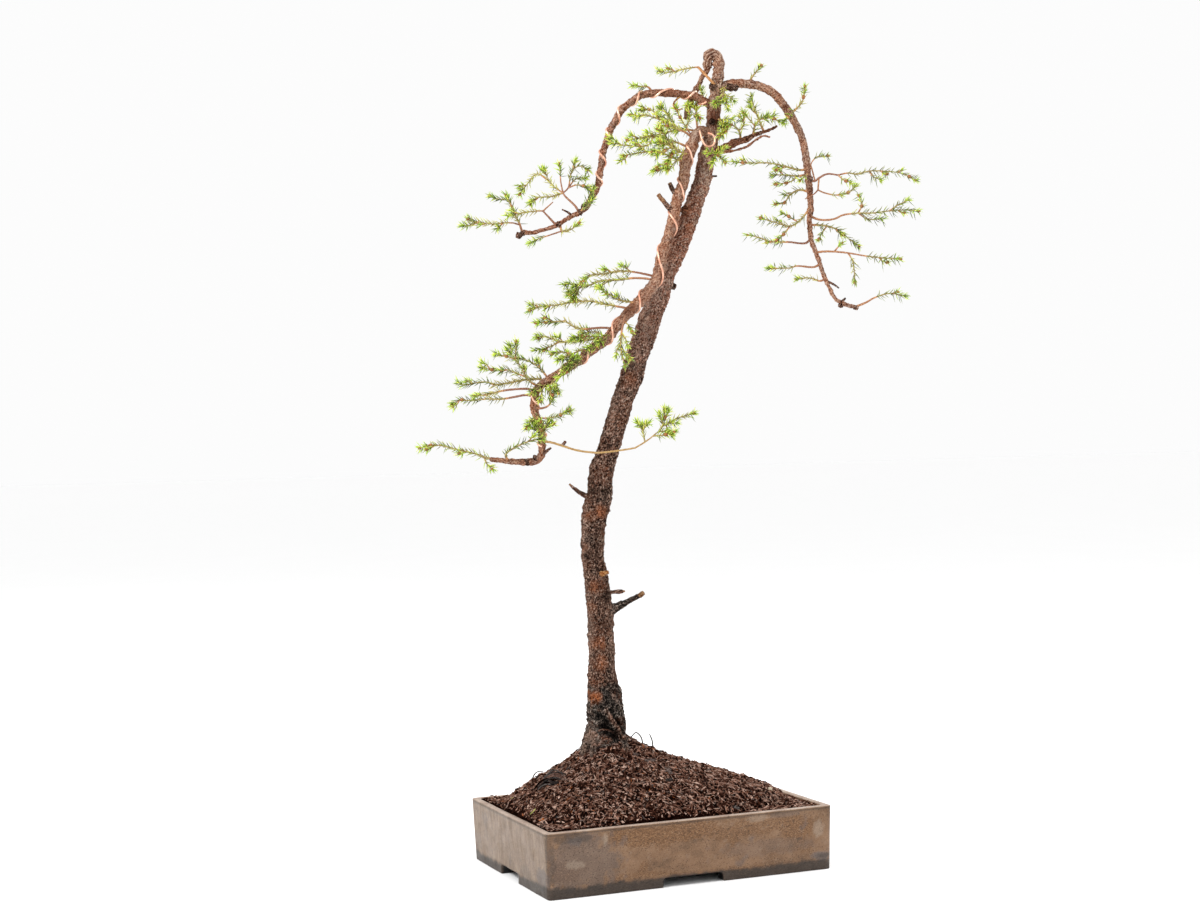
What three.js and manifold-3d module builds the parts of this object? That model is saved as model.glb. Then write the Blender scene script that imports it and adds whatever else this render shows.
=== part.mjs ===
// Spruce bonsai with hanging branches in a rectangular glazed pot, in millimetres, +Z up.
// X runs along the pot's long side, to the right as seen from its front, and Y runs to its back.
import * as THREE from 'three';
import { mergeVertices } from 'three/addons/utils/BufferGeometryUtils.js';
import Module from 'manifold-3d';

const wasm = await Module();
wasm.setup();

// Driving dimensions of the pot
const POT_LENGTH = 300;
const POT_WIDTH = 228;
const POT_HEIGHT = 63;
const POT_LEAN = 2; // how far each side comes in between rim and foot
const POT_CORNER = 3;
const WALL = 8;
const FLOOR_THICKNESS = 9;
const FOOT_HEIGHT = 8.4;
const FOOT_THICKNESS = 12;
const FRONT_ARCH = 64; // the openings between the corner feet
const END_ARCH = 52;
const DRAIN_RADIUS = 12;
const DRAIN_PLACE = 72; // from the pot's middle along X

// Drainage screens on the pot's floor
const SCREEN_SIDE = 38;
const SCREEN_THICKNESS = 1.2;
const SCREEN_MESH = 3; // openings along each side
const SCREEN_BAR = 2.2;

// The mound of soil
const MOUND_PEAK = { x: -40, y: 0 };
const MOUND_RISE = 76;
const MOUND_CORNERS = 2.6;
const MOUND_POINT = 0.66;
const MOUND_SHOULDER = 0.73;
const SOIL_BELOW_RIM = 2;
const SOIL_COLUMNS_LEFT = 5; // of the peak
const SOIL_COLUMNS_RIGHT = 9;
const SOIL_ROWS = 10;
const SOIL_CRUMB = 2.2;

// Gaps between neighbours, and the thickness of the training wire
const SEAT = 0.3;
const WIRE_RADIUS = 1.25;

// Needles at their true length, in rings along their stems
const NEEDLE_LENGTH = 10.5;
const NEEDLE_BASE = 1.3;
const NEEDLE_RADIUS = 0.6;
const NEEDLE_STEP = 9.2;
const NEEDLE_LEAN = 0.85; // radians from the stem
const NEEDLE_CLEARANCE = 0.45; // to every other node
const TIP_LEAN = 0.5;
const STEM_SIDES = 3;
const STEM_TURN = 0.7; // radians that a stem twists from one ring of needles to the next
const STEM_WIDTH = 2.6;
const STEM_TIP_WIDTH = 1.7;
const BARE_STEP = 12;

// The front from which the tree was laid out: the eye's place from the middle of the pot's foot,
// how far the sight is turned from Y, and how far the eye leans. The tree's places are written
// as [across, height, nearer]: to the right of the trunk's foot and above the table in the
// upright plane through the trunk's foot, then forward along the line of sight.
const EYE = new THREE.Vector3(-768.7, -1865.8, 416.2);
const SIGHT_TURN = THREE.MathUtils.degToRad(21.34);
const SIGHT_LEAN = THREE.MathUtils.degToRad(1.687);
const SIGHT_DISTANCE = 2000;
const FOOT_ACROSS = 6; // the trunk's foot from the middle of the sight
const EYE_HEIGHT = 415; // the middle of the sight above the table, in the same plane

const sight = new THREE.Vector3(Math.sin(SIGHT_TURN), Math.cos(SIGHT_TURN), 0);
const sightRight = new THREE.Vector3().crossVectors(sight, new THREE.Vector3(0, 0, 1));
sightRight.applyAxisAngle(sight, SIGHT_LEAN);
const sightUp = new THREE.Vector3().crossVectors(sightRight, sight);
const toViewer = sight.clone().negate();

// A place on the tree in the pot's frame.
function seen([across, height, nearer]) {
  const ray = sight.clone().multiplyScalar(SIGHT_DISTANCE);
  ray.addScaledVector(sightRight, across + FOOT_ACROSS);
  ray.addScaledVector(sightUp, height - EYE_HEIGHT);
  ray.multiplyScalar((SIGHT_DISTANCE - nearer) / SIGHT_DISTANCE);
  return ray.add(EYE);
}

// Seeded random numbers, so that each build gives the same tree.
let randomState = 20417;
function random() {
  randomState = (randomState * 1664525 + 1013904223) % 4294967296;
  return randomState / 4294967296;
}

// A solid from a closed geometry.
function solid(geometry) {
  const bare = new THREE.BufferGeometry();
  bare.setAttribute('position', geometry.getAttribute('position'));
  bare.setIndex(geometry.index);
  const merged = mergeVertices(bare, 1e-4);
  return new wasm.Manifold(new wasm.Mesh({
    numProp: 3,
    vertProperties: merged.attributes.position.array,
    triVerts: new Uint32Array(merged.index.array),
  }));
}

// The largest body of a solid, without loose scraps.
function largestBody(whole) {
  const bodies = whole.decompose();
  return bodies.reduce((best, body) => (body.volume() > best.volume() ? body : best));
}

function geometryOf(body) {
  const mesh = body.getMesh();
  const geometry = new THREE.BufferGeometry();
  geometry.setAttribute('position', new THREE.BufferAttribute(mesh.vertProperties, 3));
  geometry.setIndex(new THREE.BufferAttribute(mesh.triVerts, 1));
  geometry.computeVertexNormals();
  return geometry;
}

const root = new THREE.Group();

function addNode(name, body, material) {
  const mesh = new THREE.Mesh(geometryOf(body), material.clone());
  mesh.name = name;
  root.add(mesh);
}

const glaze = new THREE.MeshStandardMaterial({ color: 0x7d6146, roughness: 0.45, metalness: 0 });
const earth = new THREE.MeshStandardMaterial({ color: 0x46302a, roughness: 1, metalness: 0 });
const bark = new THREE.MeshStandardMaterial({ color: 0x6e4a3a, roughness: 0.9, metalness: 0 });
const leaf = new THREE.MeshStandardMaterial({ color: 0x6f9a3e, roughness: 0.6, metalness: 0 });
const copper = new THREE.MeshStandardMaterial({ color: 0xc07a5a, roughness: 0.35, metalness: 0.9 });
const plastic = new THREE.MeshStandardMaterial({ color: 0x26282a, roughness: 0.7, metalness: 0 });
const pelletClay = new THREE.MeshStandardMaterial({ color: 0xd8c8a8, roughness: 0.9, metalness: 0 });

// A block with rounded upright edges, from one height to another.
function roundedBlock(length, width, corner, bottom, top) {
  const x = length / 2;
  const y = width / 2;
  const outline = new THREE.Shape();
  outline.absarc(x - corner, y - corner, corner, 0, Math.PI / 2);
  outline.absarc(corner - x, y - corner, corner, Math.PI / 2, Math.PI);
  outline.absarc(corner - x, corner - y, corner, Math.PI, Math.PI * 1.5);
  outline.absarc(x - corner, corner - y, corner, Math.PI * 1.5, Math.PI * 2);
  const block = new THREE.ExtrudeGeometry(outline, {
    depth: top - bottom, bevelEnabled: false, curveSegments: 3,
  });
  return block.translate(0, 0, bottom);
}

function box(length, width, height, x, y, z) {
  return solid(new THREE.BoxGeometry(length, width, height).translate(x, y, z));
}

// The pot: walls that lean in a little to the foot, four corner feet and two drain holes.
const floorTop = FOOT_HEIGHT + FLOOR_THICKNESS;
const innerLength = POT_LENGTH - 2 * WALL;
const innerWidth = POT_WIDTH - 2 * WALL;

function potSolid() {
  const outside = roundedBlock(POT_LENGTH, POT_WIDTH, POT_CORNER, 0, POT_HEIGHT);
  const places = outside.getAttribute('position');
  for (let i = 0; i < places.count; i += 1) {
    const lean = POT_LEAN * (1 - places.getZ(i) / POT_HEIGHT);
    places.setX(i, places.getX(i) * (1 - (2 * lean) / POT_LENGTH));
    places.setY(i, places.getY(i) * (1 - (2 * lean) / POT_WIDTH));
  }
  const inside = roundedBlock(innerLength, innerWidth, POT_CORNER, floorTop, POT_HEIGHT + 1);
  const hollowLength = POT_LENGTH - 2 * (POT_LEAN + FOOT_THICKNESS);
  const hollowWidth = POT_WIDTH - 2 * (POT_LEAN + FOOT_THICKNESS);
  const footSpace = FOOT_HEIGHT * 2;
  let pot = solid(outside).subtract(solid(inside));
  pot = pot.subtract(box(hollowLength, hollowWidth, footSpace, 0, 0, 0));
  pot = pot.subtract(box(FRONT_ARCH, POT_WIDTH + 2, footSpace, 0, 0, 0));
  pot = pot.subtract(box(POT_LENGTH + 2, END_ARCH, footSpace, 0, 0, 0));
  for (const side of [-1, 1]) {
    const drain = new THREE.CylinderGeometry(DRAIN_RADIUS, DRAIN_RADIUS, floorTop * 2, 14);
    pot = pot.subtract(solid(drain.rotateX(Math.PI / 2).translate(side * DRAIN_PLACE, 0, floorTop)));
  }
  return pot;
}

addNode('pot', potSolid(), glaze);

// The drainage screens: small square plates with a grid of openings.
const screenBottom = floorTop + SEAT;

function screenSolid(x) {
  const middle = screenBottom + SCREEN_THICKNESS / 2;
  const opening = (SCREEN_SIDE - SCREEN_BAR * (SCREEN_MESH + 1)) / SCREEN_MESH;
  const pitch = opening + SCREEN_BAR;
  let screen = box(SCREEN_SIDE, SCREEN_SIDE, SCREEN_THICKNESS, x, 0, middle);
  for (let i = 0; i < SCREEN_MESH; i += 1) {
    for (let j = 0; j < SCREEN_MESH; j += 1) {
      const dx = (i - (SCREEN_MESH - 1) / 2) * pitch;
      const dy = (j - (SCREEN_MESH - 1) / 2) * pitch;
      screen = screen.subtract(box(opening, opening, SCREEN_THICKNESS * 3, x + dx, dy, middle));
    }
  }
  return screen;
}

addNode('drain_screen_left', screenSolid(-DRAIN_PLACE), plastic);
addNode('drain_screen_right', screenSolid(DRAIN_PLACE), plastic);

// The places, widths and frames along a limb, with a few steps between its stations.
// A station is [across, height, nearer, width].
function limbSamples(stations, steps) {
  const curve = new THREE.CatmullRomCurve3(stations.map(seen));
  const spans = stations.length - 1;
  const samples = [];
  for (let i = 0; i <= spans * steps; i += 1) {
    const span = Math.min(Math.floor(i / steps), spans - 1);
    const part = i / steps - span;
    const width = THREE.MathUtils.lerp(stations[span][3], stations[span + 1][3], part);
    samples.push({ place: curve.getPoint(i / (spans * steps)), radius: width / 2 });
  }
  return samples;
}

// Tangents, and a side direction carried along from the viewer's side.
function frameSamples(samples) {
  let side = toViewer.clone();
  samples.forEach((sample, i) => {
    const before = samples[Math.max(i - 1, 0)].place;
    const after = samples[Math.min(i + 1, samples.length - 1)].place;
    sample.along = new THREE.Vector3().subVectors(after, before).normalize();
    side = side.clone().addScaledVector(sample.along, -side.dot(sample.along));
    if (side.length() < 0.1) {
      side = sightUp.clone().addScaledVector(sample.along, -sightUp.dot(sample.along));
    }
    sample.side = side.normalize();
    sample.across = new THREE.Vector3().crossVectors(sample.along, side);
  });
  return samples;
}

// A point on or round a sample, at an angle from its side direction.
function around(sample, angle, distance) {
  const place = sample.place.clone();
  place.addScaledVector(sample.side, Math.cos(angle) * distance);
  return place.addScaledVector(sample.across, Math.sin(angle) * distance);
}

// A tube through the samples, closed by a blunt point at each end.
function tube(samples, sides, grow = 0, shape = () => 1) {
  const corners = [];
  const faces = [];
  samples.forEach((sample, i) => {
    for (let j = 0; j < sides; j += 1) {
      const angle = (j / sides) * Math.PI * 2;
      corners.push(around(sample, angle, sample.radius * shape(sample, angle) + grow));
      if (i > 0) {
        const a = (i - 1) * sides + j;
        const b = (i - 1) * sides + ((j + 1) % sides);
        faces.push(a, b, b + sides, a, b + sides, a + sides);
      }
    }
  });
  const last = (samples.length - 1) * sides;
  for (const end of [samples[0], samples[samples.length - 1]]) {
    const away = end === samples[0] ? -1 : 1;
    corners.push(end.place.clone().addScaledVector(end.along, away * (end.radius * 0.4 + grow)));
  }
  for (let j = 0; j < sides; j += 1) {
    const next = (j + 1) % sides;
    faces.push(corners.length - 2, next, j, corners.length - 1, last + j, last + next);
  }
  const geometry = new THREE.BufferGeometry();
  const flat = new Float32Array(corners.flatMap((corner) => corner.toArray()));
  geometry.setAttribute('position', new THREE.BufferAttribute(flat, 3));
  geometry.setIndex(faces);
  return solid(geometry);
}

// Everything that needles keep clear of: straight pieces with a radius and an owner.
const taken = [];

function take(samples, owner) {
  for (let i = 1; i < samples.length; i += 1) {
    const line = new THREE.Line3(samples[i - 1].place, samples[i].place);
    taken.push({ line, radius: Math.max(samples[i - 1].radius, samples[i].radius), owner });
  }
}

// The wood: trunk, bent-over leader, branches, roots, stubs and dead twigs grown as one.
// Each row is the number of sides, and the stations from the root to the tip.
const trunk = [
  [-2, 84, 0, 20], [-2, 106, 0, 34], [-2, 130, 0, 40], [1, 140, 0, 36], [0.5, 150, 0, 38],
  [-2, 170, 0, 35], [-3, 184, 0, 31], [-4.3, 199, 1, 27], [-4.7, 225, 1, 26],
  [-6, 255, 2, 26.4], [-8.4, 278, 3, 25], [-11.4, 298, 3, 23],
  [-13.4, 318, 4, 23], [-13, 338, 4, 24], [-10, 357, 4, 27], [-7, 371, 5, 25],
  [-4, 397, 5, 24], [4, 423, 5, 21.5], [16, 464, 5, 21.5], [24, 487, 5, 23],
  [33.5, 517, 5, 22], [42, 542, 4, 23], [52, 570, 3, 22], [60, 594, 2, 21],
  [77, 631, 0, 19], [83, 649, 0, 19],
  [96, 685, -2, 17], [100, 707, -3, 17], [107, 739, -3, 14], [108, 757, -3, 14],
  [110, 775, -3, 12.5], [112, 790, -2, 12], [112.5, 803, 0, 10],
];
const leader = [
  [112, 788, -2, 9], [112.6, 801, 0, 10.5], [110.5, 809, 1, 9.6], [106, 812.5, 1, 9.2],
  [101.8, 809.5, 0, 9], [99.6, 803, -2, 8.6], [98, 796, -4, 8.4], [92, 783, -8, 7.6],
  [89, 775, -10, 7.4], [83, 762, -11.5, 6.8], [80, 748, -12, 5],
];
const leftBranch = [
  [107, 761, -3, 8], [96.5, 766.5, 0, 8], [87.6, 771, 2, 7.5], [78.6, 772.7, 3, 7.5],
  [66, 773.5, 5, 7.5], [46, 774, 8, 7], [32, 770, 10, 7], [25, 765, 11, 7],
  [17.5, 759, 12, 7], [11.7, 751, 13, 7], [7, 742, 14, 7], [3, 733, 15, 7],
  [0, 724, 16, 6.5], [-2.6, 715, 17, 6.5], [-4, 706, 18, 6.5], [-5.5, 697, 19, 6.5],
  [-7, 688, 20, 6.5], [-9, 679, 21, 6], [-14, 669, 22, 5.5], [-21, 658, 23, 5],
  [-27, 654, 24, 5], [-36, 650, 26, 4.6], [-48, 642.4, 28, 4.4], [-55, 639.5, 29, 4.2],
  [-65, 636.6, 30, 4], [-74.5, 634.2, 31, 4], [-84, 634.7, 32, 5.6],
];
const rightBranch = [
  [111, 776, -3, 8], [121, 782, -5, 9], [136, 783.4, -8, 9], [153, 781, -10, 8.5],
  [167, 774, -12, 8.5], [179, 760, -14, 8.5], [188, 746, -15, 8], [196, 729, -16, 7.5],
  [200, 709.5, -16, 7.5], [201.7, 694, -16, 7.2], [203, 683, -15, 6.6], [204, 671, -14, 6],
  [204.6, 660, -13, 6.2], [203.5, 648, -12, 5.5], [204, 637, -11, 5], [205.7, 625, -10, 5],
  [210, 614, -9, 5], [214.4, 602, -8, 4.5], [218, 591, -7, 4.5], [223.5, 579, -6, 4],
  [230, 568, -5, 4], [237, 563.5, -4, 4.6], [252, 559, -3, 4.2],
];
const innerBranch = [
  [104, 716, -3, 9], [117, 718, -4, 9], [128, 724, -6, 8], [141, 728, -9, 6],
  [148, 732, -11, 4.6], [161, 736, -13, 3.4], [171, 741, -15, 2.6],
];
const innerTwig = [
  [110, 714, -2, 4], [128, 716.5, 2, 2.8], [141, 720.5, 6, 2.6], [150, 727, 8, 2.4],
  [157, 731, 10, 2.2], [164, 730, 11, 2],
];
const archedLimb = [
  [104, 733, -3, 9], [97, 736, 1, 9.5], [91, 733.5, 5, 10], [87.6, 726.5, 8, 11], [85, 717.5, 9, 12],
  [80, 707, 10, 12], [78.6, 693.4, 12, 11], [77, 683, 13, 11], [72, 671, 15, 11],
  [70, 662, 16, 11], [68, 651, 17.5, 11], [65, 640, 19, 11], [61, 626.5, 20.5, 10.5],
  [56, 613, 22, 10.5], [50, 587, 24, 10.5], [40, 573.4, 25, 11], [31, 563, 26, 11],
  [24, 556, 27, 10.5], [12, 542, 29, 10], [3.5, 531, 31, 10], [-4, 524, 32, 9.5],
  [-14, 517, 34, 9.2], [-26, 507, 36, 8.8], [-43, 496, 38, 8.4], [-59, 486, 40, 8],
  [-67, 480, 41, 8], [-70.5, 472, 41, 8], [-72, 462, 41, 8], [-70, 451.5, 41, 7.6],
  [-65, 439, 41, 7.4], [-64, 423, 41, 7], [-65, 411, 41, 7.4], [-71, 406, 41, 7.6],
  [-81.5, 405, 42, 6.6], [-100, 406, 43, 5.6], [-116, 407.6, 44, 4.2],
];
const woodRows = [
  [9, trunk],
  [6, leader],
  [5, leftBranch],
  [5, rightBranch],
  [5, innerBranch],
  [4, innerTwig],
  [6, archedLimb],
];
const roots = [
  [[-8, 160, 3, 12], [-14, 139, 6, 17], [-24, 120, 8, 13], [-33, 102, 10, 5]],
  [[6, 158, 2, 12], [11, 139, 4, 15], [19, 123, 6, 11], [27, 103, 8, 5]],
  [[-4, 162, 7, 12], [-5, 139, 14, 17], [-8, 119, 22, 12], [-10, 101, 30, 5]],
  [[5, 160, 6, 12], [8, 139, 11, 14], [13, 121, 17, 10], [18, 102, 24, 5]],
  [[-3, 158, -5, 12], [-6, 136, -13, 16], [-10, 117, -22, 11], [-13, 100, -30, 5]],
  [[4, 158, -5, 12], [8, 137, -12, 14], [14, 118, -20, 10], [19, 101, -27, 5]],
];
const stubs = [
  [[-8, 366, 5, 7], [-20.5, 371.3, 8, 5.5], [-30, 377, 9, 4], [-36.7, 383, 9, 2]],
  [[-12, 296, 4, 9], [-4, 295, 13, 8], [0, 294.5, 16.5, 7]],
  [[-6, 274, 3, 5], [6, 275, 4, 4], [19, 275.6, 4, 1.8]],
  [[-6, 253, 2, 8], [7, 258, 3, 7], [22, 264.5, 4, 6], [38, 274, 4, 4.4]],
  [[58, 585, 2, 9], [69.5, 579.5, 3, 6]],
  [[98, 690, -2, 3], [111, 691, -2, 1.8]],
  [[84, 656, 0, 12], [77.5, 657, 7, 9]],
  [[75, 668, 14, 6], [67.5, 676, 16, 4.8], [63.5, 684, 17, 4.4]],
  [[69, 653, 17, 6], [62, 660.5, 20, 5], [52, 672.5, 23, 4.4]],
  [[-34, 651, 26, 2.6], [-37, 654, 28, 2.2], [-44, 657.5, 30, 1.6]],
  [[220, 586, -7, 2.6], [227, 583, -4, 2.2], [233, 579, -2, 1.6]],
  [[235, 564.5, -4, 3], [239.6, 569, -3, 2]],
  [[-65, 411, 41, 4], [-58, 417, 46, 3], [-55, 419, 48, 2]],
  [[76, 772.8, 3, 3], [67.5, 763, 8, 2.2], [70, 757.5, 10, 2], [77, 758, 12, 1.6]],
];
for (const stations of roots) woodRows.push([5, stations]);
for (const stations of stubs) woodRows.push([4, stations]);

// Flutes that run down the trunk's lowest stretch and fade out above it.
const FLUTE_TOP = 215;
const FLUTE_DEPTH = 0.1;
function fluted(sample, angle) {
  const low = THREE.MathUtils.clamp((FLUTE_TOP - sample.place.z) / 80, 0, 1);
  return 1 + FLUTE_DEPTH * low * Math.cos(angle * 4 + 0.6);
}
function unevenBark(sample, angle) {
  return 1 + 0.035 * Math.sin(sample.place.z * 0.16 + angle * 3) + 0.02 * Math.cos(sample.place.z * 0.37);
}

const woodParts = [];
const woodPartsGrown = [];
for (const [sides, stations] of woodRows) {
  const samples = frameSamples(limbSamples(stations, 1));
  const shape = stations === trunk ? (s, a) => fluted(s, a) * unevenBark(s, a) : unevenBark;
  woodParts.push(tube(samples, sides, 0, shape));
  woodPartsGrown.push(tube(samples, sides, SEAT + 0.1, shape));
  take(samples, 'wood');
}

// The training wire: a copper helix with one turn from each front crossing to the next.
// A crossing is a place along the limb, counted in stations.
const STEPS_PER_TURN = 8;

function helixPlaces(stations, crossings) {
  const fine = 6;
  const samples = frameSamples(limbSamples(stations, fine));
  for (const sample of samples) {
    sample.side = toViewer.clone().addScaledVector(sample.along, -toViewer.dot(sample.along));
    sample.side.normalize();
    sample.across = new THREE.Vector3().crossVectors(sample.along, sample.side);
  }
  const places = [];
  for (let turn = 1; turn < crossings.length; turn += 1) {
    for (let step = 0; step < STEPS_PER_TURN; step += 1) {
      const part = step / STEPS_PER_TURN;
      const station = THREE.MathUtils.lerp(crossings[turn - 1], crossings[turn], part);
      const sample = samples[Math.round(station * fine)];
      const clear = (sample.radius * 1.05 + WIRE_RADIUS + SEAT) / Math.cos(Math.PI / STEPS_PER_TURN);
      places.push(around(sample, -part * Math.PI * 2, clear));
    }
  }
  return places;
}

function wireSamples(places) {
  return frameSamples(places.map((place) => ({ place, radius: WIRE_RADIUS })));
}

const leftWireCrossings = [0.7, 2.3, 4.6, 6, 8.9, 11.2, 13.6, 16, 17.6];
const archedWireCrossings = [1.9, 4.3, 7.4, 10.4, 13.4, 15.7, 18.7, 21.4, 23.2, 26.6, 29.2, 30.2];
const freeLoop = [
  [102, 734, 10], [107, 732, 12], [109, 727, 13], [107, 722, 14], [101.5, 720.5, 15.5], [97.6, 724, 16],
];
const wires = {
  wire_left_branch: wireSamples(helixPlaces(leftBranch, leftWireCrossings)),
  wire_arched_limb: wireSamples(
    [...freeLoop.map(seen), ...helixPlaces(archedLimb, archedWireCrossings)],
  ),
};

const wiresGrown = [];
for (const [name, samples] of Object.entries(wires)) {
  addNode(name, tube(samples, 4), copper);
  wiresGrown.push(tube(samples, 4, SEAT * 1.5));
  take(samples, name);
}

const wood = largestBody(wasm.Manifold.union(woodParts).subtract(wasm.Manifold.union(wiresGrown)));
addNode('wood', wood, bark);
const clearOfSprays = wasm.Manifold.union([...woodPartsGrown, ...wiresGrown]);

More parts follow.
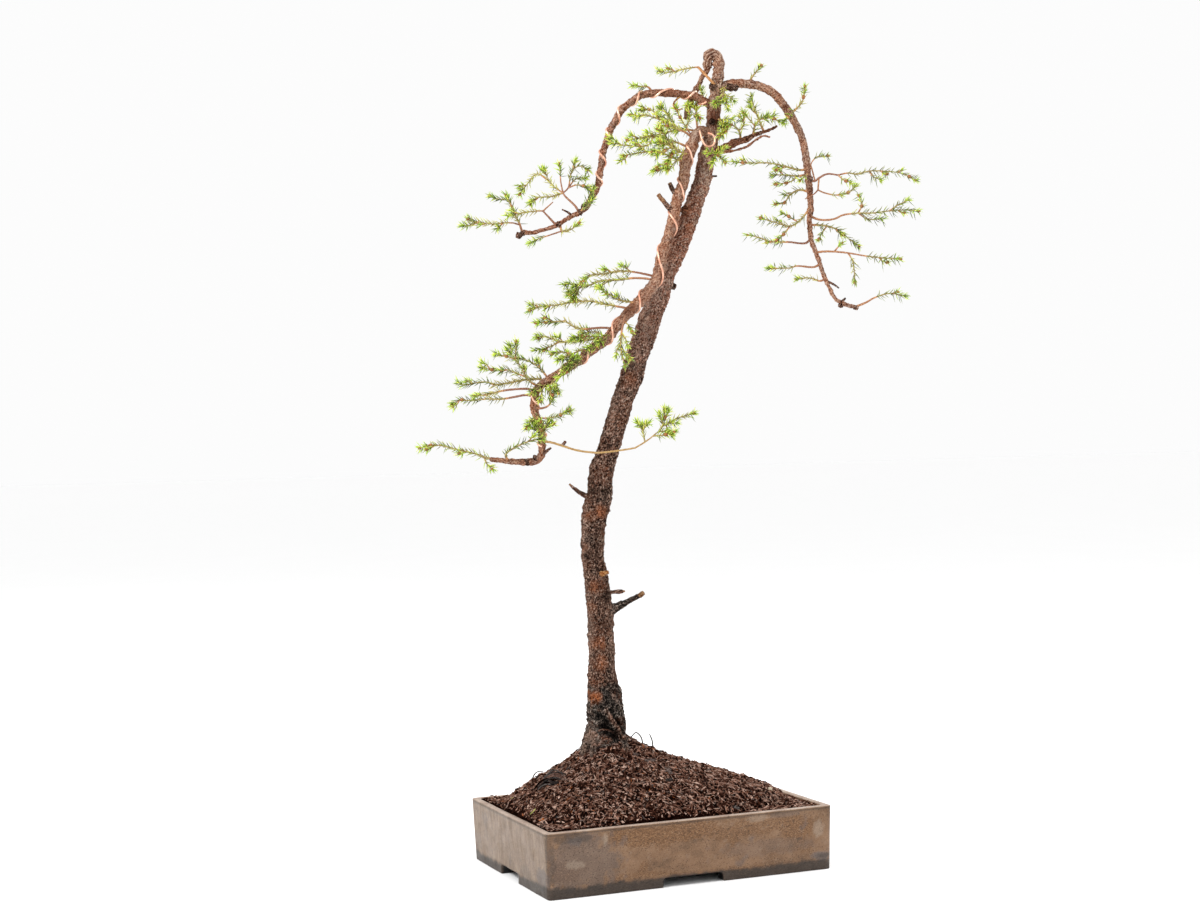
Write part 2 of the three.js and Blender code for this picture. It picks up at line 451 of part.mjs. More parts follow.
// The sprays: stems with needles round them, one node for each. A stem is the share of its
// length that stays bare, then its places as [across, height, nearer].
const sprays = {
  left_pad_top: [
    [1, [-27, 654, 24], [-30, 660, 22], [-41, 671, 18], [-43, 674, 17]],
    [0, [-43, 674, 17], [-45, 684, 14], [-49, 694, 12], [-51, 703, 10]],
    [0.3, [-43, 674, 17], [-38, 679, 20], [-34, 696, 24], [-27, 701, 27], [-18, 697, 30]],
    [0.3, [-38, 679, 20], [-30, 688, 16], [-20, 689, 12]],
    [0.3, [-38, 679, 20], [-30, 682, 25], [-22, 681, 29], [-15, 677, 31]],
    [0.1, [-43, 674, 17], [-53, 681, 12], [-57, 686, 8], [-62, 698, 4]],
    [0.2, [-57, 686, 8], [-69, 693, 2], [-78, 684, -4], [-86, 673, -8]],
    [0, [-43, 674, 17], [-52, 671, 20], [-61, 670, 24], [-70, 669, 27], [-76, 663, 29]],
  ],
  left_pad_middle: [
    [1, [-50, 642, 28.5], [-63, 656, 33]],
    [0.1, [-63, 656, 33], [-69, 656, 36], [-84, 654, 40], [-99, 651, 42]],
    [1, [-63, 656, 33], [-53, 665, 28]],
  ],
  left_pad_tip: [
    [0.3, [-84, 635, 32], [-86, 642, 32], [-90, 650, 31], [-94, 660, 30]],
    [0, [-94, 660, 30], [-99, 667, 29], [-108, 668, 27], [-116, 671, 25]],
    [0.2, [-94, 660, 30], [-100, 672, 34]],
    [0.2, [-86, 642, 32], [-93, 644, 35], [-103, 644, 37], [-113, 643, 39], [-127, 645, 40], [-138, 648, 41]],
    [0.1, [-127, 645, 40], [-135, 642, 44], [-143, 641, 46]],
    [0.3, [-103, 644, 37], [-109, 638, 42]],
  ],
  left_pad_lower: [
    [0.2, [-46, 643.5, 28], [-44, 636, 31], [-36, 637, 34], [-27, 644, 36]],
    [0.3, [-44, 636, 31], [-56, 632, 34], [-68, 628, 36], [-76, 624, 37]],
  ],
  left_arch_shoot: [
    [0.3, [47, 774, 8], [42, 780, 10], [34, 780.5, 13], [26, 782, 16]],
  ],
  crown_shoot: [
    [1, [109, 781, -2], [107, 784, 5], [92, 800, 9]],
    [0.1, [92, 800, 9], [84, 799, 11], [70, 796, 14], [61, 794.6, 16], [52, 796, 18]],
  ],
  crown_upright: [
    [0.4, [92, 734, 4], [91, 742, 2], [90, 752, 0], [90, 762, -2]],
  ],
  crown_left_top: [
    [0.2, [88, 728, 7.5], [79, 735, 12], [70, 740, 15], [52, 748, 20], [38, 752, 23], [29, 749, 25]],
    [0.1, [52, 748, 20], [46, 757, 17], [36, 757, 16]],
    [0.1, [70, 740, 15], [63, 751, 18], [54, 762, 20]],
  ],
  crown_left_middle: [
    [0.2, [85, 718, 9], [75, 723, 15], [66, 726, 19], [48, 731, 25], [30, 731, 29], [16, 730, 31]],
    [0.1, [48, 731, 25], [42, 722, 30], [26, 721, 33], [6, 724, 35]],
  ],
  crown_left_low: [
    [0.2, [80, 706, 10], [72, 707, 17], [64, 711, 22], [50, 715, 25], [32, 714, 27], [17, 711, 29]],
    [0.1, [64, 711, 22], [58, 700, 24], [46, 695, 27]],
  ],
  crown_left_front: [
    [0.2, [83, 712, 9.5], [75, 715, 24], [66, 720, 34], [54, 726, 41]],
  ],
  crown_left_back: [
    [0.2, [95, 735, 2], [84, 737, -6], [70, 737, -13], [54, 733, -20], [40, 730, -25]],
    [0.1, [70, 737, -13], [62, 747, -17], [52, 752, -22]],
  ],
  inner_right_top: [
    [0.1, [158, 735, -12.6], [153, 747, -14], [148, 760, -16], [145, 771, -18]],
  ],
  inner_right_middle: [
    [0.1, [147, 731.5, -10.8], [149, 741, -4], [155, 748, 1], [162, 752, 4]],
    [0.1, [149, 741, -4], [143, 748, 0], [138, 754, 3]],
    [0.1, [155, 748, 1], [166, 749, -2], [176, 744, -6]],
  ],
  inner_right_left: [
    [0.1, [135, 726, -7.5], [133, 736, -3], [126, 742, 3], [117, 743, 10]],
    [0.1, [133, 736, -3], [138, 743, -9], [134, 750, -14]],
    [0.2, [126, 742, 3], [118, 737, 12], [114, 731, 17]],
  ],
  trunk_tuft_upper: [
    [0.3, [122, 782, -5], [121, 775, 2], [121, 768, 7], [123, 761, 11]],
  ],
  trunk_tuft_lower: [
    [0.5, [102, 709, -3], [108, 709, 9], [110, 707, 15], [112, 704, 19]],
  ],
  right_top_shoot: [
    [0.2, [143, 783, -9], [146, 790, -7], [151, 796, -5], [155, 801, -3]],
  ],
  right_shoulder_shoot: [
    [0.2, [184, 752, -14.6], [190, 758, -12], [196, 765, -10], [198, 772, -9], [199, 780, -8]],
    [0.1, [190, 758, -12], [183, 751, -5], [178, 745, -2]],
  ],
  right_inner_1: [
    [0.1, [201.3, 698, -16], [194, 697, -10], [178, 701, -4], [163, 704, 2], [145.5, 704, 7], [127, 705, 11]],
  ],
  right_inner_2: [
    [0.2, [201.6, 693, -16], [192, 691, -22], [180, 692, -27], [166, 692, -31]],
    [0.1, [192, 691, -22], [184, 685, -17], [170, 683, -13]],
  ],
  right_inner_3: [
    [0.1, [203.6, 675, -14.4], [193, 677, -19], [184, 672, -23], [178, 664, -26], [170, 663, -29]],
  ],
  right_inner_4: [
    [0.2, [204.4, 661, -13], [201, 655, -5], [192, 645, -1], [184, 641, 3], [168, 645, 8], [155, 649, 12]],
    [0.2, [192, 645, -1], [182, 651, -5], [176, 654, -8]],
    [0.2, [184, 641, 3], [178, 633, 6], [171, 627, 9]],
  ],
  right_inner_5: [
    [0.1, [205, 629, -10.4], [200, 624, -12], [182, 625, -17], [168, 625, -21], [151, 630, -25], [142, 632, -27]],
  ],
  right_inner_6: [
    [0.3, [214, 603, -8], [208, 600, -5], [191, 601, -1], [183, 599, 1], [163, 599, 5]],
  ],
  right_inner_7: [
    [0.2, [219, 588, -7], [214, 586, -9], [204, 589, -12], [190, 588, -15]],
  ],
  right_outer_1: [
    [0.3, [202.6, 687, -15.4], [209, 686, -13], [213, 689, -12], [221, 693, -10], [232, 692, -8]],
    [0, [232, 692, -8], [242, 694, -6], [251, 693, -4], [263, 696, -2], [277, 696, 0], [294, 694, 2], [310, 687, 4]],
    [0.2, [232, 692, -8], [238, 687, -2], [246, 684, 2]],
    [0.2, [263, 696, -2], [268, 690, -8], [276, 687, -13]],
    [0.6, [209, 686, -13], [206, 698, -9], [205, 703, -8], [211, 710, -7], [222, 711, -6]],
    [1, [213, 689, -12], [212, 677, -14]],
    [0.3, [212, 677, -14], [219, 674, -16], [232, 672, -19], [242, 674.5, -21], [250, 681, -23]],
    [1, [212, 677, -14], [208, 673, -7], [199, 668, -5]],
  ],
  right_outer_2: [
    [0.3, [204.4, 651, -12.4], [211, 648, -11], [217, 647, -10], [228, 648, -8], [237, 652, -6], [252, 654, -3]],
    [0, [252, 654, -3], [266, 654, -1], [283, 656, 2], [300, 657, 4], [313, 656, 6]],
    [0.2, [252, 654, -3], [256, 662, -6], [253, 671, -9]],
    [0.1, [283, 656, 2], [292, 662, 5], [303, 667, 8]],
    [0.2, [252, 654, -3], [262, 648, -8], [277, 648, -13]],
  ],
  right_outer_3: [
    [0.1, [203.8, 642, -11.4], [211, 642, -17], [221, 641, -22], [234, 636, -25], [242, 629, -27], [253, 621, -29]],
    [0.2, [221, 641, -22], [216, 634, -27], [213, 628, -30]],
  ],
  right_outer_4: [
    [0.4, [210, 614.5, -9], [217, 615.4, -6], [228, 615.4, -3], [242, 614, 1], [260, 611, 5], [277, 609, 9], [294, 608, 12]],
    [0.4, [228, 615.4, -3], [236, 624, -8]],
    [0.1, [242, 614, 1], [247, 606, -4], [248, 598, -8], [249, 585, -11]],
  ],
  right_end: [
    [0.4, [249, 560, -3.2], [260, 564.5, -2], [268, 569, 0], [283, 573.5, 3], [299, 571, 6]],
  ],
  limb_left_1: [
    [0.3, [51, 590, 23.8], [43, 592, 29], [28, 595, 35], [12, 596, 40], [-2, 593, 44], [-15, 592, 48], [-21, 587, 50]],
  ],
  limb_left_2: [
    [0.3, [50, 586, 24], [43, 588, 17], [30, 589, 11], [10, 587, 4], [-6, 586, 0], [-16, 582, -4], [-28, 579, -8]],
    [0, [-28, 579, -8], [-38, 574, -11]],
    [0, [-28, 579, -8], [-36, 583, -3], [-42, 582, 0]],
  ],
  limb_left_3: [
    [0.2, [32, 564, 26], [25, 565, 33], [12, 567.5, 41], [3, 573, 47], [-6, 579, 52]],
  ],
  limb_left_4: [
    [0.2, [25, 557, 26.8], [20, 559, 20], [9, 561, 14], [-6, 564, 8], [-16, 566, 4], [-32, 565, 0]],
    [0, [-32, 565, 0], [-50, 562, -5], [-64, 561, -9], [-76, 557, -12]],
  ],
  limb_left_5: [
    [0.2, [8, 537, 30], [2, 539, 37], [-10, 539, 43], [-20, 538, 47], [-29, 539, 50], [-41, 546, 52]],
    [0, [-41, 546, 52], [-55, 545, 54], [-70, 544, 56]],
  ],
  limb_left_6: [
    [0.1, [-2, 526, 31.8], [-8, 528, 25], [-19, 527, 19], [-32, 525.4, 14], [-46, 525.4, 9], [-59, 530, 5], [-70, 531, 2]],
    [0.1, [-46, 525.4, 9], [-57, 520, 14], [-70, 516.5, 19]],
  ],
  limb_left_7: [
    [0.2, [-15, 516, 34], [-24, 517, 42], [-34, 513, 49], [-48, 507, 54]],
    [0.2, [-34, 513, 49], [-46, 515, 46], [-54, 513, 44]],
    [0.2, [-24, 517, 42], [-27, 506, 45], [-38, 496, 47], [-48, 489, 48]],
  ],
  limb_hanging: [
    [0.5, [22, 554, 27.4], [19, 550, 36], [17, 542, 40], [15, 530, 41], [15, 518, 41], [17, 508, 41]],
    [0, [17, 508, 41], [19, 502, 41]],
  ],
  lower_left_1: [
    [0.2, [-66, 481, 41], [-74, 484, 48], [-80, 490, 52], [-85, 500, 55], [-91, 508, 57], [-99, 517, 59]],
    [0.1, [-91, 508, 57], [-90, 518, 62], [-90, 525, 65]],
    [0.1, [-91, 508, 57], [-101, 511, 53], [-110, 513, 50]],
    [0.1, [-80, 490, 52], [-90, 494, 48], [-98, 497, 46], [-111, 497, 43], [-124, 499, 40]],
  ],
  lower_left_2: [
    [0.2, [-57, 487, 39.8], [-62, 494, 34], [-69, 501, 31], [-77, 506, 29], [-88, 509, 27]],
  ],
  lower_left_3: [
    [0.1, [-60, 485.5, 40.2], [-68, 488, 33], [-82, 487, 29], [-98, 484, 27], [-112, 482, 25]],
    [0, [-112, 482, 25], [-120, 485, 24], [-131, 484, 23], [-142, 482, 22], [-149, 485, 21]],
  ],
  lower_left_4: [
    [0.7, [-69, 475.5, 41], [-78, 478, 47], [-98, 477, 51], [-109, 475, 53], [-120, 472, 55]],
    [0, [-120, 472, 55], [-132, 471, 57]],
  ],
  lower_left_5: [
    [0.6, [-71, 469, 41], [-79, 472, 36], [-92, 470, 33], [-104, 468, 31], [-120, 468, 29]],
    [0, [-120, 468, 29], [-137, 466.5, 27], [-146, 467, 26], [-154, 462, 25]],
  ],
  lower_left_6: [
    [0.4, [-70, 451, 41], [-67, 449, 49]],
    [0.2, [-67, 449, 49], [-75, 446, 52], [-79, 439, 54]],
    [0.2, [-67, 449, 49], [-58, 449, 49], [-48, 451, 48], [-37, 457, 46]],
  ],
  lower_left_7: [
    [0.5, [-72, 459, 41], [-63, 459, 48], [-57, 462, 50], [-54, 470, 50], [-51, 479, 49]],
  ],
  bottom_tip: [
    [0, [-113, 407.2, 43.8], [-122, 410, 44], [-130, 413, 45], [-147, 417, 46], [-171, 422, 48], [-186, 419, 49]],
    [0.2, [-122, 410, 44], [-119, 403, 49], [-114, 398, 52]],
  ],
  bottom_arm: [
    [0.1, [-98, 406, 43], [-100, 413, 50], [-90, 420, 54], [-76, 426, 56], [-64, 428, 56]],
  ],
  front_twig: [
    [1, [-64, 425, 41], [-57, 425, 47], [-43, 421, 46], [-30.5, 417, 44], [-10, 414.3, 41], [10, 416, 38], [29, 419, 34]],
    [0.5, [29, 419, 34], [39, 425, 31], [47, 431, 29], [57, 441, 26], [59, 458, 23]],
    [0, [39, 425, 31], [37, 434, 29], [36, 443, 28]],
    [0, [57, 441, 26], [72, 449, 24], [88, 453.5, 22]],
    [0.1, [47, 431, 29], [58, 432, 33], [68, 435, 36]],
  ],
};

// The rings of a stem: single ones along its bare share, then pairs with a needle's base between.
function stemRings([bare, ...places]) {
  const curve = new THREE.CatmullRomCurve3(places.map(seen));
  const length = curve.getLength();
  const bareSteps = Math.max(Math.round((length * bare) / BARE_STEP), 1);
  const rings = [];
  for (let i = 0; i < bareSteps; i += 1) rings.push({ distance: (i / bareSteps) * length * bare });
  let distance = Math.max(length * bare, STEM_WIDTH) + NEEDLE_BASE * random();
  while (bare < 1 && distance < length - NEEDLE_BASE * 1.5) {
    rings.push({ distance, bears: true }, { distance: distance + NEEDLE_BASE });
    distance += NEEDLE_STEP * (0.9 + 0.2 * random());
  }
  rings.push({ distance: length });
  for (const ring of rings) {
    ring.place = curve.getPointAt(ring.distance / length);
    ring.radius = THREE.MathUtils.lerp(STEM_WIDTH, STEM_TIP_WIDTH, ring.distance / length) / 2;
    ring.turn = (STEM_TURN * ring.distance) / NEEDLE_STEP;
  }
  return frameSamples(rings);
}

// Whether a needle comes clear of every other node, and of the rest of its own spray.
function isClear(base, tip, owner) {
  const line = new THREE.Line3(base, tip);
  const outer = new THREE.Line3(base.clone().lerp(tip, 0.3), tip);
  return taken.every((other) => {
    const own = other.owner === owner;
    const room = other.radius + NEEDLE_RADIUS + (own ? -NEEDLE_RADIUS / 2 : NEEDLE_CLEARANCE);
    return (own ? outer : line).distanceSqToLine3(other.line) > room * room;
  });
}

// The tip of a needle that starts at a place and leans out from its stem, or null without room.
function needleTip(base, ring, lean, owner) {
  const out = base.clone().sub(ring.place);
  out.addScaledVector(ring.along, -out.dot(ring.along)).normalize();
  const direction = ring.along.clone().multiplyScalar(Math.cos(lean));
  direction.addScaledVector(out, Math.sin(lean));
  const full = NEEDLE_LENGTH * (0.85 + 0.3 * random());
  for (const share of [1, 0.75, 0.55]) {
    const tip = base.clone().addScaledVector(direction, full * share);
    if (isClear(base, tip, owner)) {
      taken.push({ line: new THREE.Line3(base, tip), radius: NEEDLE_RADIUS / 2, owner });
      return tip;
    }
  }
  return null;
}

// A stem as one closed body, with a pointed needle on each flat side of its short stretches
// and round its tip.
function stemSolid(rings, owner, leafy) {
  const corners = rings.flatMap((ring) => {
    const angles = Array.from({ length: STEM_SIDES }, (_, j) => ring.turn + (j / STEM_SIDES) * Math.PI * 2);
    return angles.map((angle) => around(ring, angle, ring.radius));
  });
  const faces = [];
  const addFace = (outline, ring, lean) => {
    const middle = new THREE.Vector3();
    for (const index of outline) middle.addScaledVector(corners[index], 1 / outline.length);
    const tip = lean ? needleTip(middle, ring, lean, owner) : null;
    if (tip) corners.push(tip);
    outline.forEach((index, i) => {
      const next = outline[(i + 1) % outline.length];
      if (tip) faces.push(index, next, corners.length - 1);
      else if (i > 0 && i < outline.length - 1) faces.push(outline[0], index, next);
    });
  };
  const start = corners.push(rings[0].place.clone()) - 1;
  const lastRing = rings[rings.length - 1];
  const end = corners.push(lastRing.place.clone().addScaledVector(lastRing.along, lastRing.radius)) - 1;
  for (let j = 0; j < STEM_SIDES; j += 1) {
    const next = (j + 1) % STEM_SIDES;
    rings.slice(1).forEach((ring, i) => {
      const a = i * STEM_SIDES;
      const lean = rings[i].bears ? NEEDLE_LEAN + 0.3 * (random() - 0.5) : 0;
      addFace([a + j, a + next, a + next + STEM_SIDES, a + j + STEM_SIDES], rings[i], lean);
    });
    const last = (rings.length - 1) * STEM_SIDES;
    addFace([start, next, j], rings[0], 0);
    addFace([end, last + j, last + next], lastRing, leafy ? TIP_LEAN : 0);
  }
  const geometry = new THREE.BufferGeometry();
  const flat = new Float32Array(corners.flatMap((corner) => corner.toArray()));
  geometry.setAttribute('position', new THREE.BufferAttribute(flat, 3));
  geometry.setIndex(faces);
  return solid(geometry);
}

// Whether a stem has needles round its tip: not where it is bare or where another one goes on.
function hasLeafyTip([bare, ...places], stems) {
  const tip = String(places[places.length - 1]);
  return bare < 1 && !stems.some(([, start]) => String(start) === tip);
}

const sprayRings = {};
for (const [name, stems] of Object.entries(sprays)) {
  sprayRings[name] = stems.map(stemRings);
  for (const rings of sprayRings[name]) take(rings, name);
}
for (const [name, stems] of Object.entries(sprays)) {
  const bodies = sprayRings[name].map((rings, s) => stemSolid(rings, name, hasLeafyTip(stems[s], stems)));
  addNode(name, largestBody(wasm.Manifold.union(bodies).subtract(clearOfSprays)), leaf);
}

// Height of the mound of soil over the pot's foot, at a place inside the walls.
const soilEdge = POT_HEIGHT - SOIL_BELOW_RIM;
function moundHeight(x, y) {
  const reachX = innerLength / 2 + Math.sign(MOUND_PEAK.x - x) * MOUND_PEAK.x;
  const reachY = innerWidth / 2 + Math.sign(MOUND_PEAK.y - y) * MOUND_PEAK.y;
  const u = Math.abs(x - MOUND_PEAK.x) / reachX;
  const v = Math.abs(y - MOUND_PEAK.y) / reachY;
  const out = Math.min((u ** MOUND_CORNERS + v ** MOUND_CORNERS) ** (1 / MOUND_CORNERS), 1);
  return soilEdge + MOUND_RISE * (1 - out ** MOUND_POINT) ** MOUND_SHOULDER;
}

// The soil before it is fitted: a block whose top is the crumbly mound, with a point at its peak.
function moundBlock() {
  const columns = SOIL_COLUMNS_LEFT + SOIL_COLUMNS_RIGHT;
  const block = new THREE.BoxGeometry(columns, innerWidth, 1, columns, SOIL_ROWS, 1);
  const places = block.getAttribute('position');
  const leftPitch = (innerLength / 2 + MOUND_PEAK.x) / SOIL_COLUMNS_LEFT;
  const rightPitch = (innerLength / 2 - MOUND_PEAK.x) / SOIL_COLUMNS_RIGHT;
  const heights = new Map();
  for (let i = 0; i < places.count; i += 1) {
    const column = places.getX(i) + columns / 2 - SOIL_COLUMNS_LEFT;
    const x = MOUND_PEAK.x + column * (column < 0 ? leftPitch : rightPitch);
    const y = places.getY(i);
    const key = `${x.toFixed(2)} ${y.toFixed(2)}`;
    if (!heights.has(key)) heights.set(key, moundHeight(x, y) + SOIL_CRUMB * (random() - 0.5));
    places.setX(i, x);
    places.setZ(i, places.getZ(i) > 0 ? heights.get(key) : 0);
  }
  return solid(block);
}

// Loose bits that lie half sunk in the mound: name, material, place, half sizes.
const looseBits = [
  ['fertiliser_pellet', pelletClay, 112, -52, [3.2, 3.2, 3]],
  ['bark_chip', bark, 6, -42, [7.5, 3.4, 1.6]],
];

function bitSolid(x, y, halfSizes, grow) {
  const stone = new THREE.IcosahedronGeometry(1, 1);
  stone.scale(...halfSizes.map((half) => half + grow));
  return solid(stone.rotateZ(x).translate(x, y, moundHeight(x, y) + halfSizes[2] * 0.3));
}

const soilWalls = solid(roundedBlock(
  innerLength - 2 * SEAT, innerWidth - 2 * SEAT, POT_CORNER, floorTop + SEAT, POT_HEIGHT + MOUND_RISE,
));
const woodGrown = wasm.Manifold.union(woodPartsGrown);
let soil = moundBlock().intersect(soilWalls).subtract(woodGrown);
const screenRoom = SCREEN_SIDE + 2 * SEAT;
const screenTop = screenBottom + SCREEN_THICKNESS + SEAT;
for (const side of [-1, 1]) {
  soil = soil.subtract(box(screenRoom, screenRoom, screenTop * 2 - floorTop * 2, side * DRAIN_PLACE, 0, floorTop));
}
for (const [name, material, x, y, halfSizes] of looseBits) {
  addNode(name, bitSolid(x, y, halfSizes, 0), material);
  soil = soil.subtract(bitSolid(x, y, halfSizes, SEAT));
}
addNode('soil', largestBody(soil), earth);

// The origin: on the table, under the middle of the whole part.
const whole = new THREE.Box3().setFromObject(root);
const middle = whole.getCenter(new THREE.Vector3());
root.position.set(-middle.x, -middle.y, -whole.min.z);
root.updateMatrixWorld(true);

export default root;
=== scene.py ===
"""A spruce bonsai in its pot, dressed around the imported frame. Metres in Blender, +Z up.

The tree is laid out in millimetres from the pot's middle on the table, as it is seen from the
front: [across, height, nearer] is a place to the right of the trunk's foot and above the table,
in the upright plane through the trunk's foot, then forward along the line of sight.
"""

import math
import zlib

import bmesh
import bpy
import numpy as np
from mathutils import Matrix, Vector, noise


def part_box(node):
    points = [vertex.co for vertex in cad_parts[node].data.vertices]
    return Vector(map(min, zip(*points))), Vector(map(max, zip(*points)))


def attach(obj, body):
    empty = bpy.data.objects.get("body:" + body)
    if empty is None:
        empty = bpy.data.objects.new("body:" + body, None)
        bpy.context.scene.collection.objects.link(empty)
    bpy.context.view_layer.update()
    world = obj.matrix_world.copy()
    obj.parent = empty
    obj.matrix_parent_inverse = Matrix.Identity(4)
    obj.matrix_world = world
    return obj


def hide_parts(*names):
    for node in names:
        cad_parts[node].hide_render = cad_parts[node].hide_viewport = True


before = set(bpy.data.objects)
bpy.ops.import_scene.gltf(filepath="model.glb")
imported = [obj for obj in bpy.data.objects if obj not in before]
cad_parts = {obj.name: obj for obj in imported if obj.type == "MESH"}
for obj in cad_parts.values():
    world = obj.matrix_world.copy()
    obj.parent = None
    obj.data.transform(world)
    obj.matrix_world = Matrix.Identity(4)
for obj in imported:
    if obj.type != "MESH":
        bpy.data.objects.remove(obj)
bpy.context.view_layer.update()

MM = 0.001

# The pot, from its CAD node, in millimetres
pot_low, pot_high = (np.array(corner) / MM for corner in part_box("pot"))
POT_MIDDLE = np.array([*(pot_low + pot_high)[:2] / 2, 0.0])
POT_LENGTH, POT_WIDTH, POT_HEIGHT = pot_high - pot_low
WALL = 8
FLOOR_THICKNESS = 9
FOOT_HEIGHT = 8.4
FOOT_THICKNESS = 12
FRONT_ARCH = 64
END_ARCH = 52
DRAIN_RADIUS = 12
DRAIN_PLACE = 72
INNER_LENGTH = POT_LENGTH - 2 * WALL
INNER_WIDTH = POT_WIDTH - 2 * WALL
FLOOR_TOP = FOOT_HEIGHT + FLOOR_THICKNESS
SEAT = 0.3

# The view that the tree is laid out from
EYE = np.array([-768.7, -1865.8, 416.2])
SIGHT_TURN = math.radians(21.34)
SIGHT_LEAN = math.radians(1.687)
SIGHT_DISTANCE = 2000
FOOT_ACROSS = 6
EYE_HEIGHT = 415
UP = np.array([0.0, 0.0, 1.0])
SIGHT = np.array([math.sin(SIGHT_TURN), math.cos(SIGHT_TURN), 0.0])
SIGHT_RIGHT = np.cross(SIGHT, UP) * math.cos(SIGHT_LEAN) - UP * math.sin(SIGHT_LEAN)
SIGHT_UP = np.cross(SIGHT_RIGHT, SIGHT)
TO_VIEWER = -SIGHT
RIGHT = np.cross(SIGHT, UP)

# The wood: each limb as rows of [across, height, nearer, width], from its root to its end
TRUNK = [
    [-2, 84, 0, 20], [-2, 106, 0, 34], [-2, 130, 0, 40], [1, 140, 0, 36], [0.5, 150, 0, 38],
    [-2, 170, 0, 35], [-3, 184, 0, 31], [-4.3, 199, 1, 27], [-4.7, 225, 1, 26], [-6, 255, 2, 26.4],
    [-8.4, 278, 3, 25], [-11.4, 298, 3, 23], [-13.4, 318, 4, 23], [-13, 338, 4, 24], [-10, 357, 4, 27],
    [-7, 371, 5, 25], [-4, 397, 5, 24], [4, 423, 5, 21.5], [16, 464, 5, 21.5], [24, 487, 5, 23],
    [33.5, 517, 5, 22], [42, 542, 4, 23], [52, 570, 3, 22], [60, 594, 2, 21], [77, 631, 0, 19],
    [83, 649, 0, 19], [96, 685, -2, 17], [100, 707, -3, 17], [107, 739, -3, 14], [108, 757, -3, 14],
    [110, 775, -3, 12.5], [112, 790, -2, 12], [112.5, 803, 0, 10],
]
LEADER = [
    [112, 788, -2, 9], [112.6, 801, 0, 11], [111, 810, 1, 10.4], [106.5, 813.5, 1, 10], [102, 809.5, 0, 10],
    [102, 803, -2, 9.4], [100.6, 796.5, -4, 6.2], [96.8, 791, -6, 5.2], [93.6, 784, -8, 4.8],
    [89, 775, -10, 6.6], [83, 762, -11.5, 6.8], [80, 748, -12, 5],
]
LEFT_BRANCH = [
    [107, 761, -3, 8], [96.5, 766.5, 0, 8], [87.6, 771, 2, 7.5], [78.6, 772.7, 3, 7.5], [66, 773.5, 5, 7.5],
    [46, 774, 8, 7], [32, 770, 10, 7], [25, 765, 11, 7], [17.5, 759, 12, 7], [11.7, 751, 13, 7],
    [7, 742, 14, 7], [3, 733, 15, 7], [0, 724, 16, 6.5], [-2.6, 715, 17, 6.5], [-4, 706, 18, 6.5],
    [-5.5, 697, 19, 6.5], [-7, 688, 20, 6.5], [-9, 679, 21, 6], [-14, 669, 22, 5.5], [-21, 658, 23, 5],
    [-27, 654, 24, 5], [-36, 650, 26, 4.6], [-48, 642.4, 28, 4.4], [-55, 639.5, 29, 4.2],
    [-65, 636.6, 30, 4], [-74.5, 634.2, 31, 4], [-84, 634.7, 32, 5.6],
]
RIGHT_BRANCH = [
    [111, 776, -3, 8], [121, 782, -5, 9], [136, 783.4, -8, 9], [153, 781, -10, 8.5], [167, 774, -12, 8.5],
    [179, 760, -14, 8.5], [188, 746, -15, 8], [196, 729, -16, 7.5], [200, 709.5, -16, 7.5],
    [201.7, 694, -16, 7.2], [203, 683, -15, 6.6], [204, 671, -14, 6], [204.6, 660, -13, 6.2],
    [203.5, 648, -12, 5.5], [204, 637, -11, 5], [205.7, 625, -10, 5], [210, 614, -9, 5],
    [214.4, 602, -8, 4.5], [218, 591, -7, 4.5], [223.5, 579, -6, 4], [230, 568, -5, 4],
    [237, 563.5, -4, 4.6], [252, 559, -3, 4.2],
]
INNER_BRANCH = [
    [104, 716, -3, 9], [117, 718, -4, 9], [128, 724, -6, 8], [141, 728, -9, 6], [148, 732, -11, 4.6],
    [161, 736, -13, 3.4], [171, 741, -15, 2.6],
]
INNER_TWIG = [
    [110, 714, -2, 4], [128, 716.5, 2, 2.8], [141, 720.5, 6, 2.6], [150, 727, 8, 2.4], [157, 731, 10, 2.2],
    [164, 730, 11, 2],
]
ARCHED_LIMB = [
    [104, 733, -3, 9], [97, 736, 1, 9.5], [91, 733.5, 5, 10], [87.6, 726.5, 8, 11], [85, 717.5, 9, 12],
    [80, 707, 10, 12], [78.6, 693.4, 12, 11], [77, 683, 13, 11], [72, 671, 15, 11], [70, 662, 16, 11],
    [68, 651, 17.5, 11], [65, 640, 19, 11], [61, 626.5, 20.5, 10.5], [56, 613, 22, 10.5],
    [50, 587, 24, 10.5], [40, 573.4, 25, 11], [31, 563, 26, 11], [24, 556, 27, 10.5], [12, 542, 29, 10],
    [3.5, 531, 31, 10], [-4, 524, 32, 9.5], [-14, 517, 34, 9.2], [-26, 507, 36, 8.8], [-43, 496, 38, 8.4],
    [-59, 486, 40, 8], [-67, 480, 41, 8], [-70.5, 472, 41, 8], [-72, 462, 41, 8], [-70, 451.5, 41, 7.6],
    [-65, 439, 41, 7.4], [-64, 423, 41, 7], [-65, 411, 41, 7.4], [-71, 406, 41, 7.6], [-81.5, 405, 42, 6.6],
    [-100, 406, 43, 5.6], [-116, 407.6, 44, 4.2],
]
ROOTS = [
    [[-9, 151, 3, 7], [-14, 137, 6, 14], [-18.5, 122, 8, 13], [-25, 103, 10, 7]],
    [[6, 156, 2, 12], [10, 138, 1, 13], [18, 121, 2, 11], [27, 102, 4, 5]],
    [[-6, 146, 5, 8], [-10, 132, 13, 10], [-12, 116, 19, 9], [-15, 100, 25, 5]],
    [[12, 142, 6, 8], [16, 131, 10, 8], [20, 118, 15, 8], [25, 102, 20, 5]],
    [[-3, 158, -5, 12], [-6, 136, -13, 16], [-10, 117, -22, 11], [-13, 100, -30, 5]],
    [[4, 158, -5, 12], [8, 137, -12, 14], [14, 118, -20, 10], [19, 101, -27, 5]],
]
